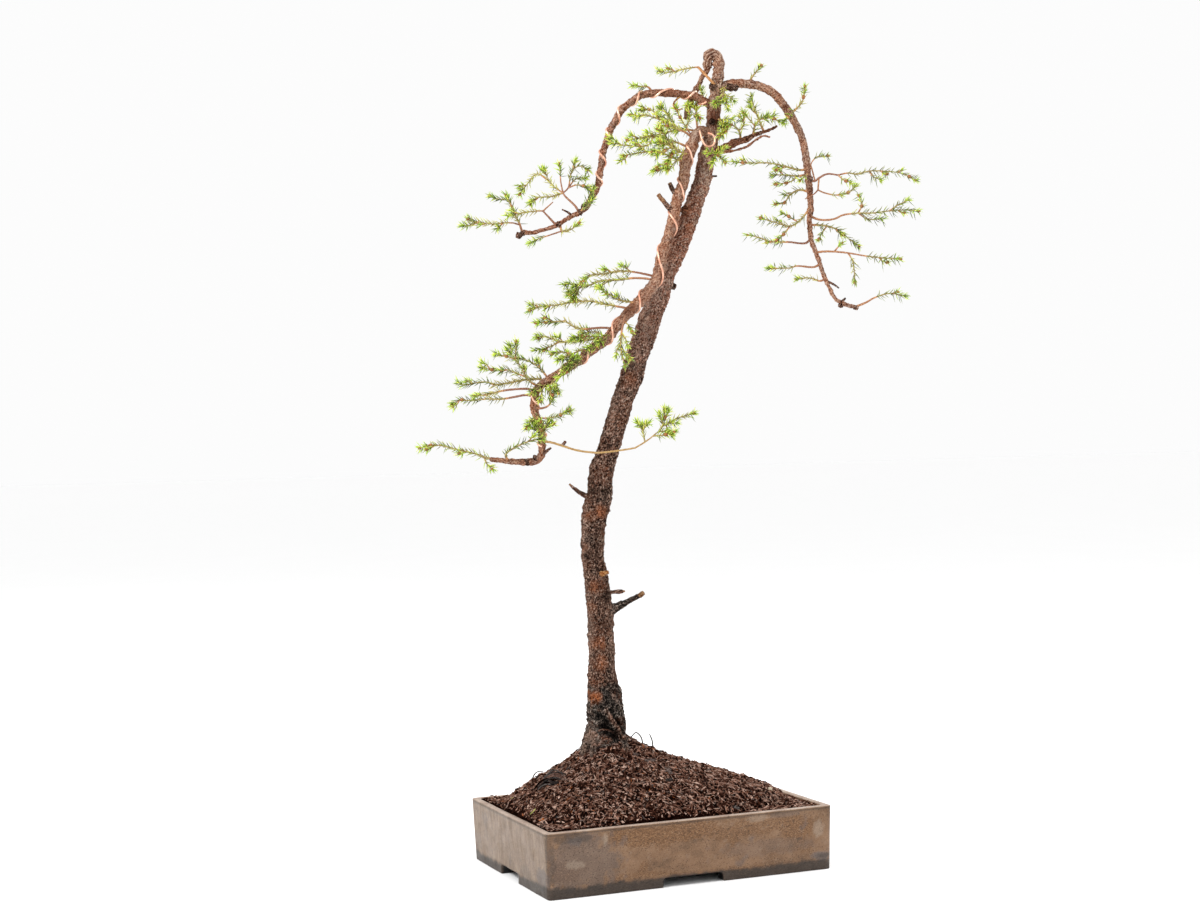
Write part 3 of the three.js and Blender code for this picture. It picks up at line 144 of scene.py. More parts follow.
STUBS = [
    [[-8, 366, 5, 7], [-20.5, 371.3, 8, 5.5], [-30, 377, 9, 4], [-36.7, 383, 9, 2]],
    [[-8, 293.4, 6, 5.4], [-3.6, 293.2, 13, 5.6], [-0.6, 294.2, 14.4, 3.6], [2.6, 294.8, 14.6, 4.2]],
    [[-6, 274, 3, 6], [7, 275, 4, 3.8], [12.5, 275.4, 4, 4.6], [15.5, 275.6, 4, 4.2], [19, 275.8, 4, 1.6]],
    [[-4, 256, 2, 14], [5, 257.5, 3, 13], [10.5, 260, 3.4, 9.2], [22, 265.5, 4, 6], [38, 274, 4, 5]],
    [[58, 585, 2, 9], [69.5, 579.5, 3, 6]],
    [[98, 690, -2, 3], [111, 691, -2, 1.8]],
    [[84, 656, 0, 12], [77.5, 657, 7, 9]],
    [[75, 668, 14, 6], [67.5, 676, 16, 4.8], [63.5, 684, 17, 4.4]],
    [[69, 653, 17, 6], [62, 660.5, 20, 5], [52, 672.5, 23, 4.4]],
    [[-34, 651, 26, 2.6], [-37, 654, 28, 2.2], [-44, 657.5, 30, 1.6]],
    [[220, 586, -7, 2.6], [227, 583, -4, 2.2], [233, 579, -2, 1.6]],
    [[235, 564.5, -4, 3], [239.6, 569, -3, 2]],
    [[-65, 411, 41, 4], [-58, 417, 46, 3], [-55, 419, 48, 2]],
    [[76, 772.8, 3, 2.6], [67.5, 763, 8, 1.5], [70, 757.5, 10, 1.4], [77, 758, 12, 1.1]],
]
# The sprays: each stem as the share of it that is bare, then places from its root to its tip. The
# first stem grows from the wood, and the others start at a place of one before them.
SPRAYS = {
    "left_pad_top": [
        [1, [-27, 654, 24], [-30, 660, 22], [-41, 671, 18], [-43, 674, 17]],
        [0.55, [-43, 674, 17], [-45, 684, 14], [-46, 694, 12], [-47, 703, 10]],
        [0.3, [-43, 674, 17], [-38, 679, 20], [-34, 696, 24], [-27, 701, 27], [-18, 697, 30]],
        [0.3, [-38, 679, 20], [-30, 688, 16], [-20, 689, 12]],
        [0.3, [-38, 679, 20], [-30, 682, 25], [-22, 681, 29], [-15, 677, 31]],
        [0.1, [-43, 674, 17], [-53, 681, 12], [-57, 686, 8], [-62, 698, 4]],
        [0.2, [-57, 686, 8], [-69, 693, 2], [-78, 684, -4], [-86, 673, -8]],
        [0, [-43, 674, 17], [-52, 671, 20], [-61, 670, 24], [-70, 669, 27], [-76, 663, 29]],
    ],
    "left_pad_middle": [
        [1, [-50, 642, 28.5], [-63, 656, 33]],
        [0.1, [-63, 656, 33], [-69, 656, 36], [-84, 654, 40], [-99, 651, 42]],
        [1, [-63, 656, 33], [-53, 665, 28]],
    ],
    "left_pad_tip": [
        [0.3, [-84, 635, 32], [-86, 642, 32], [-90, 650, 31], [-94, 660, 30]],
        [0, [-94, 660, 30], [-99, 667, 29], [-108, 668, 27], [-116, 671, 25]],
        [0.2, [-94, 660, 30], [-100, 672, 34]],
        [
            0.2, [-86, 642, 32], [-93, 644, 35], [-103, 644, 37], [-113, 643, 39], [-127, 645, 40],
            [-138, 648, 41],
        ],
        [0.1, [-127, 645, 40], [-135, 642, 44], [-143, 641, 46]],
        [0.3, [-103, 644, 37], [-109, 638, 42]],
    ],
    "left_pad_lower": [
        [0.2, [-46, 643.5, 28], [-44, 636, 31], [-36, 637, 34], [-27, 644, 36]],
        [0.5, [-44, 636, 31], [-56, 632, 34], [-68, 628, 36], [-76, 624, 37]],
    ],
    "left_arch_shoot": [
        [0.3, [47, 774, 8], [42, 780, 10], [34, 780.5, 13], [26, 782, 16]],
    ],
    "crown_shoot": [
        [1, [109, 781, -2], [107, 784, 5], [92, 800, 9]],
        [0.1, [92, 800, 9], [84, 799, 11], [70, 796, 14], [61, 794.6, 16], [52, 796, 18]],
    ],
    "crown_upright": [
        [0.4, [92, 734, 4], [91, 742, 2], [90, 752, 0], [90, 762, -2]],
    ],
    "crown_left_top": [
        [0.2, [88, 728, 7.5], [79, 735, 12], [70, 740, 15], [52, 748, 20], [38, 752, 23], [29, 749, 25]],
        [0.1, [52, 748, 20], [46, 757, 17], [36, 757, 16]],
        [0.1, [70, 740, 15], [63, 751, 18], [54, 762, 20]],
    ],
    "crown_left_middle": [
        [0.2, [85, 718, 9], [75, 723, 15], [66, 726, 19], [48, 731, 25], [33, 729, 29], [22, 727, 31]],
        [0.1, [48, 731, 25], [42, 722, 30], [26, 721, 33], [6, 724, 35]],
    ],
    "crown_left_low": [
        [0.2, [80, 706, 10], [72, 707, 17], [64, 711, 22], [50, 715, 25], [32, 714, 27], [17, 711, 29]],
        [0.1, [64, 711, 22], [58, 700, 24], [46, 695, 27]],
    ],
    "crown_left_front": [
        [0.2, [83, 712, 9.5], [75, 715, 24], [66, 720, 34], [54, 726, 41]],
    ],
    "crown_left_back": [
        [0.2, [95, 735, 2], [84, 737, -6], [70, 737, -13], [54, 733, -20], [40, 730, -25]],
        [0.1, [70, 737, -13], [62, 747, -17], [52, 752, -22]],
    ],
    "inner_right_top": [
        [0.1, [158, 735, -12.6], [153, 747, -14], [148, 760, -16], [145, 771, -18]],
    ],
    "inner_right_middle": [
        [0.1, [147, 731.5, -10.8], [149, 741, -4], [155, 748, 1], [162, 752, 4]],
        [0.1, [149, 741, -4], [143, 748, 0], [138, 754, 3]],
        [0.1, [155, 748, 1], [166, 749, -2], [176, 744, -6]],
    ],
    "inner_right_left": [
        [0.1, [135, 726, -7.5], [133, 736, -3], [126, 742, 3], [117, 743, 10]],
        [0.1, [133, 736, -3], [138, 743, -9], [134, 750, -14]],
        [0.2, [126, 742, 3], [118, 737, 12], [114, 731, 17]],
    ],
    "trunk_tuft_upper": [
        [0.2, [120, 782, -5], [118, 777, 3], [117, 771, 9], [117, 765, 12]],
    ],
    "trunk_tuft_lower": [
        [0.5, [104, 714, -3], [109, 714, 8], [111, 713, 14], [112, 712, 17]],
    ],
    "right_top_shoot": [
        [0.2, [143, 783, -9], [146, 790, -7], [151, 796, -5], [155, 801, -3]],
    ],
    "right_shoulder_shoot": [
        [0.2, [184, 752, -14.6], [190, 758, -12], [196, 765, -10], [198, 772, -9], [199, 780, -8]],
        [0.1, [190, 758, -12], [183, 751, -5], [178, 745, -2]],
    ],
    "right_inner_1": [
        [
            0.1, [201.3, 698, -16], [194, 697, -10], [178, 701, -4], [163, 704, 2], [145.5, 704, 7],
            [127, 705, 11],
        ],
    ],
    "right_inner_2": [
        [0.2, [201.6, 693, -16], [192, 691, -22], [180, 692, -27], [166, 692, -31]],
        [0.1, [192, 691, -22], [184, 685, -17], [170, 683, -13]],
    ],
    "right_inner_3": [
        [0.1, [203.6, 675, -14.4], [193, 677, -19], [184, 672, -23], [178, 664, -26], [170, 663, -29]],
    ],
    "right_inner_4": [
        [
            0.2, [204.4, 661, -13], [201, 655, -5], [192, 645, -1], [184, 641, 3], [168, 645, 8],
            [155, 649, 12],
        ],
        [0.2, [192, 645, -1], [182, 651, -5], [176, 654, -8]],
        [0.2, [184, 641, 3], [178, 633, 6], [171, 627, 9]],
    ],
    "right_inner_5": [
        [
            0.4, [205, 629, -10.4], [200, 624, -12], [182, 625, -17], [168, 625, -21], [151, 630, -25],
            [142, 632, -27],
        ],
    ],
    "right_inner_6": [
        [0.5, [214, 603, -8], [208, 600, -5], [191, 601, -1], [183, 599, 1], [163, 599, 5]],
    ],
    "right_inner_7": [
        [0.2, [219, 588, -7], [214, 586, -9], [204, 589, -12], [190, 588, -15]],
    ],
    "right_outer_1": [
        [1, [202.6, 687, -15.4], [209, 686, -13], [213, 689, -12], [221, 693, -10], [232, 692, -8]],
        [
            0.1, [232, 692, -8], [242, 694, -6], [251, 693, -4], [263, 696, -2], [277, 696, 0],
            [294, 694, 2], [310, 687, 4],
        ],
        [0.2, [232, 692, -8], [238, 687, -2], [246, 684, 2]],
        [0.2, [263, 696, -2], [268, 690, -8], [276, 687, -13]],
        [0.6, [209, 686, -13], [206, 698, -9], [205, 703, -8], [211, 710, -7], [222, 711, -6]],
        [1, [213, 689, -12], [212, 677, -14]],
        [0.3, [212, 677, -14], [219, 674, -16], [232, 672, -19], [242, 674.5, -21], [250, 681, -23]],
        [1, [212, 677, -14], [208, 673, -7], [199, 668, -5]],
    ],
    "right_outer_2": [
        [
            0.85, [204.4, 651, -12.4], [211, 648, -11], [217, 647, -10], [228, 648, -8], [237, 652, -6],
            [252, 654, -3],
        ],
        [0, [252, 654, -3], [266, 654, -1], [283, 656, 2], [300, 657, 4], [313, 656, 6]],
        [0.2, [252, 654, -3], [256, 662, -6], [253, 671, -9]],
        [0.1, [283, 656, 2], [292, 662, 5], [303, 667, 8]],
        [0.2, [252, 654, -3], [262, 648, -8], [277, 648, -13]],
    ],
    "right_outer_3": [
        [
            0.1, [203.8, 642, -11.4], [211, 642, -17], [221, 641, -22], [234, 636, -25], [242, 629, -27],
            [253, 621, -29],
        ],
        [0.2, [221, 641, -22], [216, 634, -27], [213, 628, -30]],
    ],
    "right_outer_4": [
        [
            0.6, [210, 614.5, -9], [217, 615.4, -6], [228, 615.4, -3], [242, 614, 1], [260, 611, 5],
            [277, 609, 9], [294, 608, 12],
        ],
        [0.4, [228, 615.4, -3], [236, 624, -8]],
        [0.1, [242, 614, 1], [247, 606, -4], [248, 598, -8], [249, 585, -11]],
    ],
    "right_end": [
        [0.45, [249, 560, -3.2], [260, 564.5, -2], [268, 569, 0], [283, 573.5, 3], [299, 571, 6]],
    ],
    "limb_left_1": [
        [
            0.35, [51, 590, 23.8], [43, 592, 29], [28, 595, 35], [12, 596, 40], [-2, 593, 44],
            [-15, 592, 48], [-21, 587, 50],
        ],
    ],
    "limb_left_2": [
        [
            0.35, [50, 586, 24], [43, 588, 17], [30, 589, 11], [10, 587, 4], [-6, 586, 0], [-16, 582, -4],
            [-28, 579, -8],
        ],
        [0, [-28, 579, -8], [-38, 574, -11]],
        [0, [-28, 579, -8], [-36, 583, -3], [-42, 582, 0]],
    ],
    "limb_left_3": [
        [0.2, [32, 564, 26], [25, 565, 33], [12, 567.5, 41], [3, 573, 47], [-6, 579, 52]],
    ],
    "limb_left_4": [
        [0.3, [25, 557, 26.8], [20, 559, 20], [9, 561, 14], [-6, 564, 8], [-16, 566, 4], [-32, 565, 0]],
        [0, [-32, 565, 0], [-50, 562, -5], [-64, 561, -9], [-76, 557, -12]],
    ],
    "limb_left_5": [
        [0.6, [8, 537, 30], [2, 539, 37], [-10, 539, 43], [-20, 538, 47], [-29, 539, 50], [-41, 546, 52]],
        [0, [-41, 546, 52], [-55, 545, 54], [-70, 544, 56]],
    ],
    "limb_left_6": [
        [
            0.1, [-2, 526, 31.8], [-8, 528, 25], [-19, 527, 19], [-32, 525.4, 14], [-46, 525.4, 9],
            [-59, 530, 5], [-70, 531, 2],
        ],
        [0.1, [-46, 525.4, 9], [-57, 520, 14], [-70, 516.5, 19]],
    ],
    "limb_left_7": [
        [0.2, [-15, 516, 34], [-24, 517, 42], [-34, 513, 49], [-48, 507, 54]],
        [0.2, [-34, 513, 49], [-46, 515, 46], [-54, 513, 44]],
        [0.2, [-24, 517, 42], [-27, 506, 45], [-38, 496, 47], [-48, 489, 48]],
    ],
    "limb_hanging": [
        [0.5, [22, 554, 27.4], [19, 550, 36], [17, 542, 40], [15, 530, 41], [15, 518, 41], [17, 508, 41]],
        [0, [17, 508, 41], [19, 502, 41]],
    ],
    "lower_left_1": [
        [0.2, [-66, 481, 41], [-74, 484, 48], [-80, 490, 52], [-85, 500, 55], [-91, 508, 57], [-99, 517, 59]],
        [0.1, [-91, 508, 57], [-90, 518, 62], [-90, 525, 65]],
        [0.1, [-91, 508, 57], [-101, 511, 53], [-110, 513, 50]],
        [0.1, [-80, 490, 52], [-90, 494, 48], [-98, 497, 46], [-111, 497, 43], [-124, 499, 40]],
    ],
    "lower_left_2": [
        [0.2, [-57, 487, 39.8], [-62, 494, 34], [-69, 501, 31], [-77, 506, 29], [-88, 509, 27]],
    ],
    "lower_left_3": [
        [0.1, [-60, 485.5, 40.2], [-68, 488, 33], [-82, 487, 29], [-98, 484, 27], [-112, 482, 25]],
        [0, [-112, 482, 25], [-120, 485, 24], [-131, 484, 23], [-142, 482, 22], [-149, 485, 21]],
    ],
    "lower_left_4": [
        [0.7, [-69, 475.5, 41], [-78, 478, 47], [-98, 477, 51], [-109, 475, 53], [-120, 472, 55]],
        [0, [-120, 472, 55], [-132, 471, 57]],
    ],
    "lower_left_5": [
        [0.6, [-71, 469, 41], [-79, 472, 36], [-92, 470, 33], [-104, 468, 31], [-120, 468, 29]],
        [0, [-120, 468, 29], [-137, 466.5, 27], [-146, 467, 26], [-154, 462, 25]],
    ],
    "lower_left_6": [
        [0.4, [-70, 451, 41], [-67, 449, 49]],
        [0.2, [-67, 449, 49], [-75, 446, 52], [-79, 439, 54]],
        [0.2, [-67, 449, 49], [-58, 449, 49], [-48, 451, 48], [-37, 457, 46]],
    ],
    "lower_left_7": [
        [0.5, [-72, 459, 41], [-63, 459, 48], [-57, 462, 50], [-54, 470, 50], [-51, 479, 49]],
    ],
    "bottom_tip": [
        [
            0, [-113, 407.2, 43.8], [-122, 410, 44], [-130, 413, 45], [-147, 417, 46], [-171, 422, 48],
            [-186, 419, 49],
        ],
        [0.2, [-122, 410, 44], [-119, 403, 49], [-114, 398, 52]],
    ],
    "bottom_arm": [
        [0.1, [-98, 406, 43], [-100, 413, 50], [-90, 420, 54], [-76, 426, 56], [-64, 428, 56]],
    ],
    "front_twig": [
        [
            1, [-64, 425, 41], [-57, 425, 47], [-43, 421, 46], [-30.5, 417, 44], [-10, 414.3, 41],
            [10, 416, 38], [29, 419, 34],
        ],
        [0.5, [29, 419, 34], [39, 425, 31], [47, 431, 29], [57, 441, 26], [59, 458, 23]],
        [0, [39, 425, 31], [37, 434, 29], [36, 443, 28]],
        [0, [57, 441, 26], [72, 449, 24], [88, 453.5, 22]],
        [0.1, [47, 431, 29], [58, 432, 33], [68, 435, 36]],
    ],
}

# Places and curves

def seen(places):
    """Places on the tree in the pot's frame, in millimetres."""
    places = np.asarray(places, float).reshape(-1, 3)
    ray = SIGHT * SIGHT_DISTANCE + SIGHT_RIGHT * (places[:, :1] + FOOT_ACROSS)
    ray = ray + SIGHT_UP * (places[:, 1:2] - EYE_HEIGHT)
    return EYE + ray * (SIGHT_DISTANCE - places[:, 2:]) / SIGHT_DISTANCE


def sighted(points):
    """Where places in the pot's frame are seen, as [across, height, nearer]."""
    ray = points - EYE
    depth = ray @ SIGHT
    across = ray @ SIGHT_RIGHT * SIGHT_DISTANCE / depth - FOOT_ACROSS
    height = ray @ SIGHT_UP * SIGHT_DISTANCE / depth + EYE_HEIGHT
    return np.stack([across, height, SIGHT_DISTANCE - depth], -1)


def catmull_rom(points, per_span=16):
    """Close samples of the centripetal Catmull-Rom curve through the points."""
    before, after = 2 * points[0] - points[1], 2 * points[-1] - points[-2]
    padded = np.vstack([before, points, after])
    t = (np.arange(per_span) / per_span)[:, None]
    samples = []
    for i in range(len(points) - 1):
        p0, p1, p2, p3 = padded[i:i + 4]
        g0, g1, g2 = (max(np.linalg.norm(b - a), 1e-3) ** 0.5 for a, b in ((p0, p1), (p1, p2), (p2, p3)))
        m1 = ((p1 - p0) / g0 - (p2 - p0) / (g0 + g1) + (p2 - p1) / g1) * g1
        m2 = ((p2 - p1) / g1 - (p3 - p1) / (g1 + g2) + (p3 - p2) / g2) * g1
        square, cube = 3 * (p2 - p1) - 2 * m1 - m2, 2 * (p1 - p2) + m1 + m2
        samples.append(p1 + m1 * t + square * t ** 2 + cube * t ** 3)
    return np.vstack([*samples, points[-1:]])


def unit(vectors):
    return vectors / np.maximum(np.linalg.norm(vectors, axis=-1, keepdims=True), 1e-9)


def smooth(values, low, high):
    t = np.clip((values - low) / (high - low), 0, 1)
    return t * t * (3 - 2 * t)


class Limb:
    """A curve with even steps: its places, radii, and a frame at each step."""

    def __init__(self, points, radii, step):
        dense = catmull_rom(np.asarray(points, float))
        run = np.concatenate([[0], np.cumsum(np.linalg.norm(np.diff(dense, axis=0), axis=1))])
        self.length = run[-1]
        steps = max(int(round(self.length / step)), 3)
        self.run = np.linspace(0, self.length, steps + 1)
        self.place = np.stack([np.interp(self.run, run, dense[:, k]) for k in range(3)], 1)
        self.station = np.interp(self.run, run, np.linspace(0, len(radii) - 1, len(dense)))
        self.radius = np.interp(self.station, np.arange(len(radii)), radii)
        self.along = unit(np.gradient(self.place, axis=0))
        side, sides = TO_VIEWER, []
        for along in self.along:
            side = side - along * side.dot(along)
            if np.linalg.norm(side) < 0.1:
                side = SIGHT_UP - along * SIGHT_UP.dot(along)
            side = side / np.linalg.norm(side)
            sides.append(side)
        self.side = np.array(sides)
        self.across = np.cross(self.along, self.side)

    @classmethod
    def laid(cls, stations, step):
        """From rows of [across, height, nearer, width]."""
        stations = np.asarray(stations, float)
        return cls(seen(stations[:, :3]), stations[:, 3] / 2, step)

    def at(self, station, values):
        """Some values of the limb at a place counted in stations."""
        return np.stack([np.interp(station, self.station, values[:, k]) for k in range(3)], -1)

    def spokes(self, sides):
        """The ways out of the limb, round it at each step."""
        angles = round_angles(sides)
        return np.cos(angles)[:, None] * self.side[:, None] + np.sin(angles)[:, None] * self.across[:, None]

    def frames_at(self, run):
        """The place, and the ways along, to the side and across, at some lengths along the limb."""
        for values in (self.place, self.along, self.side, self.across):
            yield np.stack([np.interp(run, self.run, values[:, k]) for k in range(3)], -1)


# Meshes

class Shape:
    """Vertices in millimetres in the pot's frame, with faces and with marks at each vertex."""

    def __init__(self):
        self.vertices, self.faces, self.materials, self.marks, self.count = [], [], [], {}, 0

    def add(self, vertices, faces, material=0, **marks):
        for rows in faces:
            self.faces.append(np.asarray(rows) + self.count)
            self.materials.append(np.full(len(rows), material))
        for name, values in marks.items():
            values = np.asarray(values, float)
            tail = values.shape[-1:] if values.ndim > 1 else ()
            values = np.broadcast_to(values, (len(vertices), *tail))
            self.marks.setdefault(name, []).append((self.count, values))
        self.vertices.append(vertices)
        self.count += len(vertices)


def make_mesh(name, shape, is_smooth=True):
    """A mesh of a Shape, in metres."""
    mesh = bpy.data.meshes.new(name)
    vertices = (np.concatenate(shape.vertices) + POT_MIDDLE) * MM
    mesh.vertices.add(len(vertices))
    mesh.vertices.foreach_set("co", vertices.astype(np.float32).ravel())
    sizes = np.concatenate([np.full(len(rows), rows.shape[1]) for rows in shape.faces])
    corners = np.concatenate([rows.ravel() for rows in shape.faces])
    mesh.loops.add(len(corners))
    mesh.loops.foreach_set("vertex_index", corners.astype(np.int32))
    mesh.polygons.add(len(sizes))
    starts = np.concatenate([[0], np.cumsum(sizes)[:-1]])
    mesh.polygons.foreach_set("loop_start", starts.astype(np.int32))
    mesh.polygons.foreach_set("material_index", np.concatenate(shape.materials).astype(np.int32))
    set_smooth(mesh, is_smooth)
    for mark, parts in shape.marks.items():
        values = np.zeros((len(vertices), *parts[0][1].shape[1:]), np.float32)
        for start, part in parts:
            values[start:start + len(part)] = part
        write_mark(mesh, mark, values)
    mesh.update(calc_edges=True)
    mesh.validate()
    return mesh


def set_smooth(mesh, is_smooth=True):
    mesh.polygons.foreach_set("use_smooth", np.full(len(mesh.polygons), is_smooth))


def write_mark(mesh, name, values):
    """Writes a number or a vector for each vertex, as an attribute that the materials read."""
    kind, field = ("FLOAT_VECTOR", "vector") if values.ndim > 1 else ("FLOAT", "value")
    attribute = mesh.attributes.new(name, kind, "POINT")
    attribute.data.foreach_set(field, values.astype(np.float32).ravel())


def read_places(mesh):
    places = np.empty(len(mesh.vertices) * 3, np.float32)
    mesh.vertices.foreach_get("co", places)
    return places.reshape(-1, 3)


def from_form(name, form):
    """A mesh from a bmesh, which is freed."""
    mesh = bpy.data.meshes.new(name)
    form.to_mesh(mesh)
    form.free()
    return mesh


def new_object(name, data):
    thing = bpy.data.objects.new(name, data)
    bpy.context.scene.collection.objects.link(thing)
    return thing


def add_piece(name, mesh, materials, slot, *nodes):
    """A piece on the one body, which stands for some CAD nodes."""
    for material in materials:
        mesh.materials.append(material)
    piece = new_object(name, mesh)
    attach(piece, "root")
    if nodes:
        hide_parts(*nodes)
    return piece


def seeded(name):
    return np.random.default_rng(zlib.crc32(name.encode()))


def round_angles(sides):
    return 2 * math.pi * np.arange(sides) / sides


def tube(rings, sides):
    """The faces between the rings of a tube."""
    start = np.arange(rings - 1)[:, None] * sides
    a, b = start + np.arange(sides), start + (np.arange(sides) + 1) % sides
    return np.stack([a, b, b + sides, a + sides], -1).reshape(-1, 4)


def skin(shape, limb, sides, distance=None, material=0, blunt=0.4, **marks):
    """Adds a limb's surface, closed by a low point at each end. A mark is a number, or has one
    value for each ring and side."""
    rows = len(limb.place)
    if distance is None:
        distance = np.repeat(limb.radius[:, None], sides, 1)
    ring = limb.place[:, None] + limb.spokes(sides) * distance[..., None]
    poles = [
        limb.place[0] - limb.along[0] * limb.radius[0] * blunt,
        limb.place[-1] + limb.along[-1] * limb.radius[-1] * blunt,
    ]
    this, following, last = np.arange(sides), (np.arange(sides) + 1) % sides, (rows - 1) * sides
    start_pole, end_pole = np.full(sides, rows * sides), np.full(sides, rows * sides + 1)
    ends = np.concatenate([
        np.stack([start_pole, following, this], 1), np.stack([end_pole, last + this, last + following], 1),
    ])
    for mark, values in marks.items():
        values = np.asarray(values, float)
        if values.ndim >= 2:
            flat = values.reshape(rows * sides, *values.shape[2:])
            values = np.concatenate([flat, flat[:1], flat[-1:]])
        marks[mark] = values
    vertices = np.concatenate([ring.reshape(-1, 3), np.stack(poles)])
    shape.add(vertices, [tube(rows, sides), ends], material, **marks)


def strands(shape, base, direction, length, bend, width, profile, sides, material=0, flatness=1.0, **marks):
    """Adds many thin tapered strands. bend moves each tip by that vector, in a parabola, and
    profile is the share of the width at each ring; the last ring is a point."""
    count, rings = len(base), len(profile) - 1
    t = np.linspace(0, 1, len(profile))[None, :, None]
    spine = base[:, None] + direction[:, None] * length[:, None, None] * t + bend[:, None] * t ** 2
    u = unit(np.cross(direction, np.where(np.abs(direction[:, 2:]) > 0.9, [[1.0, 0, 0]], [UP])))
    v = np.cross(direction, u)
    angles = round_angles(sides)
    round_u = np.cos(angles)[None, None, :, None] * u[:, None, None]
    round_v = np.sin(angles)[None, None, :, None] * v[:, None, None] * flatness
    wide = (width[:, None] * np.array(profile[:-1])[None] / 2)[..., None, None]
    body = spine[:, :-1, None] + (round_u + round_v) * wide
    vertices = np.concatenate([body.reshape(count, -1, 3), spine[:, -1:]], 1)
    per = rings * sides + 1
    last = (rings - 1) * sides + np.arange(sides)
    following = (rings - 1) * sides + (np.arange(sides) + 1) % sides
    tips = np.stack([last, following, np.full(sides, per - 1)], 1)
    butt = np.arange(sides)[::-1].reshape(1, sides)
    first = (np.arange(count) * per)[:, None, None]
    faces = [(rows + first).reshape(-1, rows.shape[1]) for rows in (tube(rings, sides), tips, butt)]
    ring_of = np.concatenate([np.repeat(np.arange(rings), sides), [rings]]) / rings
    marks = {mark: np.repeat(values, per) for mark, values in marks.items()}
    shape.add(vertices.reshape(-1, 3), faces, material, tip=np.tile(ring_of, count), **marks)


# Materials

STUDIO_LIGHT = 1.6


def rgb(red, green, blue, light=STUDIO_LIGHT):
    """A colour that shows as 0 to 255 on the screen under the studio's light, in linear light."""
    linear = [(c / 255) ** 2.2 / light for c in (red, green, blue)]
    return (*linear, 1.0)


class Surface:
    """A node material, with short ways to make its nodes."""

    def __init__(self, name):
        self.material = bpy.data.materials.new(name)
        self.material.use_nodes = True
        self.tree = self.material.node_tree
        self.shader = self.tree.nodes["Principled BSDF"]

    def put(self, value, socket):
        if isinstance(value, bpy.types.NodeSocket):
            self.tree.links.new(value, socket)
        else:
            socket.default_value = value

    def set(self, **inputs):
        for name, value in inputs.items():
            self.put(value, self.shader.inputs[name.replace("_", " ")])

    def node(self, kind, inputs=(), output=0, **settings):
        node = self.tree.nodes.new(kind)
        for name, value in settings.items():
            setattr(node, name, value)
        for name, value in dict(inputs).items():
            self.put(value, node.inputs[name])
        return node.outputs[output]

    def mark(self, name, output="Fac"):
        return self.node("ShaderNodeAttribute", attribute_name=name, output=output)

    def place(self):
        return self.node("ShaderNodeTexCoord", output="Object")

    def stretched(self, vector, scale):
        return self.node("ShaderNodeMapping", {"Vector": vector, "Scale": scale})

    def noise(self, vector, scale, detail=4.0, roughness=0.6, distortion=0.0):
        inputs = {
            "Vector": vector, "Scale": scale, "Detail": detail, "Roughness": roughness,
            "Distortion": distortion,
        }
        return self.node("ShaderNodeTexNoise", inputs)

    def math(self, operation, a, b=0.0, c=0.0):
        return self.node("ShaderNodeMath", {0: a, 1: b, 2: c}, operation=operation)

    def between(self, value, low, high, start=0.0, end=1.0):
        inputs = {"Value": value, "From Min": low, "From Max": high, "To Min": start, "To Max": end}
        return self.node("ShaderNodeMapRange", inputs, interpolation_type="SMOOTHSTEP")

    def ramp(self, value, *stops):
        output = self.node("ShaderNodeValToRGB", {"Fac": value})
        elements = output.node.color_ramp.elements
        while len(elements) < len(stops):
            elements.new(1.0)
        for element, (position, colour) in zip(elements, stops):
            element.position = position
            element.color = colour
        return output

    def mix(self, share, a, b):
        inputs = {"Factor": share, 6: a, 7: b}
        return self.node("ShaderNodeMix", inputs, output=2, data_type="RGBA")

    def layered(self, colour, *layers):
        """The colour under others. Each one has a value, where on it the layer starts and where
        it is full, how much it covers there, and its colour."""
        for value, start, full, amount, over in layers:
            colour = self.mix(self.between(value, start, full, 0.0, amount), colour, over)
        return colour

    def marked(self, colour, mark, amount, over):
        """The colour under another one, which shows where the mesh is marked."""
        return self.mix(self.math("MULTIPLY", self.mark(mark), amount), colour, over)

    def bump(self, height, distance):
        self.set(Normal=self.node("ShaderNodeBump", {"Height": height, "Distance": distance}))


